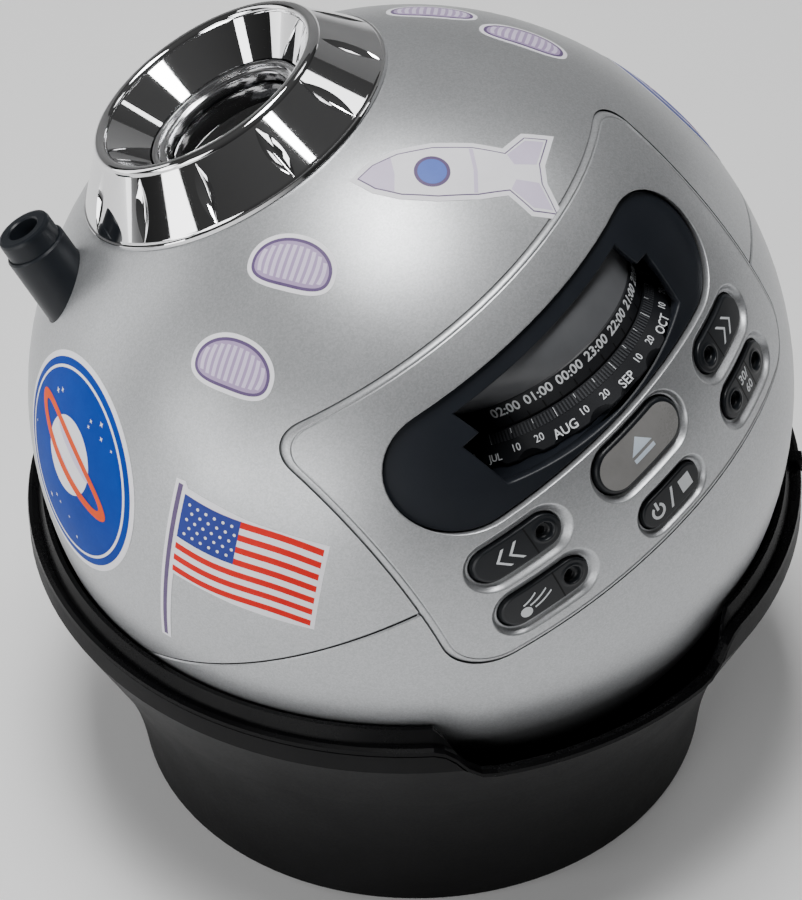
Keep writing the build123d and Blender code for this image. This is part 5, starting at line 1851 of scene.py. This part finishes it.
    @classmethod
    def rocket(cls) -> list:
        """A white and lilac rocket with a round blue window, nose to the left.

        Returns:
            Its layers.
        """
        hull = [
            (-19.0, 0.0), (-16.0, 2.6), (-11.0, 4.6), (-4.0, 5.6), (4.0, 5.4), (10.5, 4.2), (15.0, 8.6),
            (19.6, 8.8), (17.2, 2.4), (17.2, -2.4), (19.6, -8.8), (15.0, -8.6), (10.5, -4.2), (4.0, -5.4),
            (-4.0, -5.6), (-11.0, -4.6), (-16.0, -2.6),
        ]
        outline = Outline(tuple(hull[::-1]))
        nose = [(-19.0, 0.0), (-16.0, 2.6), (-12.4, 4.0), (-12.0, 0.0), (-12.4, -4.0), (-16.0, -2.6)]
        fin = [(10.8, 4.1), (15.0, 8.0), (19.0, 8.2), (16.7, 2.2), (12.0, 1.8)]
        belt = [(3.2, 5.2), (4.0, 5.2), (4.4, 0.0), (4.0, -5.2), (3.2, -5.2), (3.6, 0.0)]
        return [
            cls.layer(Look.VINYL, 0, list(map(tuple, outline.loop(1.3)))),
            cls.layer(Look.PURPLE, 1, list(map(tuple, outline.loop(0.25)))),
            cls.layer(Look.VINYL, 2, hull),
            cls.layer(Look.LILAC, 3, nose),
            cls.layer(Look.LILAC, 3, fin),
            cls.layer(Look.LILAC, 3, [(u, -v) for u, v in fin]),
            cls.layer(Look.PURPLE, 3, cls.oval(3.6, 3.6, -4.6, 0.0)),
            cls.layer(Look.VISOR, 4, cls.oval(2.9, 2.9, -4.6, 0.0)),
            cls.layer(Look.LILAC, 3, belt),
        ]

    @classmethod
    def badge(cls) -> list:
        """A round blue patch with a white circle, a planet, a red ring about it, and stars.

        Returns:
            Its layers.
        """
        ring = cls.oval(11.2, 2.9, 0.5, -0.5, -24, count=64)
        gap = cls.oval(9.9, 1.9, 0.5, -0.6, -24, count=64)
        layers = [
            cls.layer(Look.VINYL, 0, cls.oval(16.8, 16.8, count=80)),
            cls.layer(Look.NAVY, 1, cls.oval(16.0, 16.0, count=80)),
            cls.layer(Look.VINYL, 2, cls.oval(13.0, 13.0, count=72), cls.oval(12.3, 12.3, count=72)),
            cls.layer(Look.BLUE, 2, cls.oval(12.3, 12.3, count=72)),
            cls.layer(Look.VINYL, 3, cls.oval(5.2, 5.2, 1.0, -1.0)),
            cls.layer(Look.RED, 4, ring, gap),
        ]
        for at, size in (((-6, 6), 0.8), ((7, 7), 0.6), ((-7, -6), 0.6), ((3, 9), 0.5), ((8, -7), 0.7)):
            layers.append(cls.layer(Look.VINYL, 3, cls.star(at, size)))
        return layers


class Projector:
    """The whole object: every piece that is drawn here, and the finishes of the CAD nodes that stay."""

    SIDE = (9.2, 3.7, Look.BUTTON)      # half length, half height and finish of the four side buttons
    BUTTONS = (
        PushButton("reverse_button", "reverse", -31.0, 1.7, *SIDE, (5.6,), Signs.chevrons(Way.LEFT, -2.2)),
        PushButton("forward_button", "forward", 31.0, 1.7, *SIDE, (-5.6,), Signs.chevrons(Way.RIGHT, 1.9)),
        PushButton("meteor_button", "meteor", -31.0, -10.7, *SIDE, (5.6,), Signs.meteor),
        PushButton("timer_button", "timer", 30.6, -10.7, *SIDE, (-5.4, 5.2), Signs.minutes),
        PushButton("eject_button", "eject", 0.0, 1.5, 11.8, 5.3, Look.WARM, (), Signs.eject,
                   ink=Look.PALE, round=0.9, dish=1.15),
        PushButton("power_button", "power", 0.3, -12.7, 8.2, 3.4, Look.BUTTON, (), Signs.power, dish=1.4),
    )

    STICKERS = (
        Sticker("sticker_planet", (-66.0, 7.5, 40.0), -60.0, Artwork.planet),
        Sticker("sticker_flag", (-66.5, -36.5, 23.5), -35.5, Artwork.pennant),
        Sticker("sticker_rocket", (12.0, -52.2, 59.3), -53.5, Artwork.rocket),
        Sticker("sticker_badge", (74.0, -22.0, 16.7), -100.0, Artwork.badge),
        Sticker("sticker_pill_a", (-24.0, -41.5, 64.1), -45.8, Artwork.pill),
        Sticker("sticker_pill_b", (-44.7, -37.0, 55.0), -37.1, Artwork.pill),
        Sticker("sticker_pill_c", (53.0, -25.8, 54.0), -112.0, Artwork.pill),
        Sticker("sticker_pill_d", (47.5, -8.0, 63.8), -120.0, Artwork.pill),
    )

    def __init__(self, frame: dict) -> None:
        """Keeps the frame and each node's slot in it."""
        self.frame = frame
        self.slots = {part["node"]: part["material_slot"] for part in frame["record"]["subparts"]}

    def finish_nodes(self) -> None:
        """Gives every CAD node the procedural finish of its slot, and the meteor tube its own."""
        for name, node in self.frame["nodes"].items():
            finish = Look.TUBE if name == "meteor_tube" else Look.BY_SLOT[self.slots[name]]
            material = finish.material()
            if not node.data.materials:
                node.data.materials.append(material)
            for place in node.material_slots:
                place.material = material

    def build(self) -> None:
        """Makes all the pieces."""
        self.finish_nodes()
        ControlPanel().build(self.BUTTONS)
        DrawerFront().build()
        for button in self.BUTTONS:
            button.build()
        DateDial().build()
        FocusRing().build()
        LensTrim().build()
        BallSeam().build()
        for sticker in self.STICKERS:
            sticker.build()


# ================================================================ studio
@dataclass
class Studio:
    """Pale floor, soft lights and the camera.

    `lean`, `roll` and `head` are the camera's angles in degrees, and `aim_off` the target's place
    in its view: right, up and back of it, in millimetres.
    """

    target: tuple = (0.0, 0.0, BALL_HEIGHT)
    aim_off: tuple = (2.094, 13.085, -1046.819)
    lean: float = 42.8
    roll: float = -2.11
    head: float = 28.7
    lens: float = 200.0
    sensor: float = 36.0
    floor_turn: float = -27.3
    floor_front: float = -2.5
    floor_back: float = 2.2
    cove: float = 0.8
    wall_top: float = 3.2
    half_width: float = 3.0
    sky: tuple = (0.012, 0.065)
    lights: tuple = (
        ("over", (-0.10, 0.72, 0.68), 1.0, (0.55, 0.35), 11.5),
        ("low_left", (-0.45, -0.42, 0.70), 1.1, (0.5, 0.5), 3.2),
        ("far_left", (-0.80, -0.36, 0.48), 1.1, (0.3, 0.3), 1.4),
        ("left", (-0.96, 0.25, -0.1), 0.9, (0.35, 0.8), 1.8),
        ("card_left", (-0.9, -0.1, 0.43), 1.2, (0.25, 0.45), 1.6),
        ("card_high", (0.45, 0.83, 0.33), 1.2, (0.3, 0.3), 1.0),
        ("edge", (0.75, 0.2, -0.75), 0.9, (0.15, 0.8), 0.5),
    )

    def axes(self) -> np.ndarray:
        """The camera's right, up and back directions.

        The up direction is (sin r cos l, cos r cos l, sin l) for the roll r and the lean l, back
        is at right angles to it and to X, and all three are then turned about Z by the heading.

        Returns:
            A (3, 3) array with the directions as its columns.
        """
        lean, roll, head = np.radians((self.lean, self.roll, self.head))
        up = np.array([np.sin(roll) * np.cos(lean), np.cos(roll) * np.cos(lean), np.sin(lean)])
        back = np.cross(up, (1.0, 0.0, 0.0))
        back /= np.linalg.norm(back)
        spin = np.array([[np.cos(head), np.sin(head), 0], [-np.sin(head), np.cos(head), 0], [0, 0, 1.0]])
        return spin @ np.array([np.cross(back, up), back, up])

    def camera(self) -> None:
        """Sets the camera by its place and axes."""
        axes = self.axes()
        data = bpy.data.cameras.new("camera")
        data.lens, data.sensor_fit = self.lens, "AUTO"
        data.sensor_width = data.sensor_height = self.sensor
        data.clip_start, data.clip_end = 0.05, 20
        camera = bpy.data.objects.new("camera", data)
        matrix = np.eye(4)
        matrix[:3, :3] = axes
        matrix[:3, 3] = (axes @ -np.array(self.aim_off) + np.array(self.target)) * MM
        camera.matrix_world = Matrix(matrix.tolist())
        bpy.context.scene.collection.objects.link(camera)
        bpy.context.scene.camera = camera

    def light(self, name: str, towards: tuple, far: float, size: tuple, power: float) -> None:
        """Adds one soft box that faces the object.

        Args:
            name: its name.
            towards: its direction from the object, as right, up and back of the camera.
            far: its distance in metres.
            size: its width and height in metres.
            power: watts.
        """
        data = bpy.data.lights.new(name, "AREA")
        data.shape, data.size, data.size_y, data.energy = "RECTANGLE", size[0], size[1], power
        lamp = bpy.data.objects.new(name, data)
        way = Vector(self.axes() @ np.array(towards)).normalized()
        lamp.location = Vector(self.target) * MM + way * far
        lamp.rotation_euler = (-way).to_track_quat("-Z", "Y").to_euler()
        bpy.context.scene.collection.objects.link(lamp)

    def floor(self) -> None:
        """Adds the floor, which curves up into a wall far behind by a quarter round."""
        angle = np.linspace(0, np.pi / 2, 14)[1:]
        level, end = np.linspace(self.floor_front, self.floor_back, 12), self.floor_back + self.cove
        steps = np.concatenate([level, self.floor_back + self.cove * np.sin(angle), [end]])
        rise = np.concatenate([np.zeros(12), self.cove - self.cove * np.cos(angle), [self.wall_top]])
        across = np.linspace(-self.half_width, self.half_width, 9)
        x, y = np.meshgrid(across, steps)
        points = np.stack([x, y, np.repeat(rise[:, None], len(across), 1)], -1).reshape(-1, 3)
        mesh = bpy.data.meshes.new("floor")
        mesh.from_pydata(points.tolist(), [], quads(len(steps), len(across), False).tolist())
        mesh.materials.append(Look.FLOOR.material())
        mesh.shade_smooth()
        floor = bpy.data.objects.new("floor", mesh)
        floor.rotation_euler = (0, 0, np.radians(self.floor_turn))
        bpy.context.scene.collection.objects.link(floor)

    def world(self) -> None:
        """A plain grey surround, a little darker low down."""
        world = bpy.data.worlds.new("surround")
        world.use_nodes = True
        tree = world.node_tree
        shade = tree.nodes["Background"]
        spot, axis = tree.nodes.new("ShaderNodeTexCoord"), tree.nodes.new("ShaderNodeSeparateXYZ")
        ramp = tree.nodes.new("ShaderNodeMapRange")
        ramp.inputs["From Min"].default_value, ramp.inputs["From Max"].default_value = -0.2, 0.9
        ramp.inputs["To Min"].default_value, ramp.inputs["To Max"].default_value = self.sky
        tree.links.new(spot.outputs["Generated"], axis.inputs[0])
        tree.links.new(axis.outputs["Z"], ramp.inputs["Value"])
        tree.links.new(ramp.outputs["Result"], shade.inputs["Strength"])
        shade.inputs["Color"].default_value = (1, 1, 1, 1)
        bpy.context.scene.world = world

    def build(self) -> None:
        """Makes the studio."""
        self.camera()
        self.floor()
        self.world()
        for light in self.lights:
            self.light(*light)


def main() -> None:
    """Builds the scene."""
    logging.basicConfig(level=logging.INFO, format="%(name)s: %(message)s")
    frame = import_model()
    Projector(frame).build()
    Studio().build()


if __name__ == "__main__":
    main()
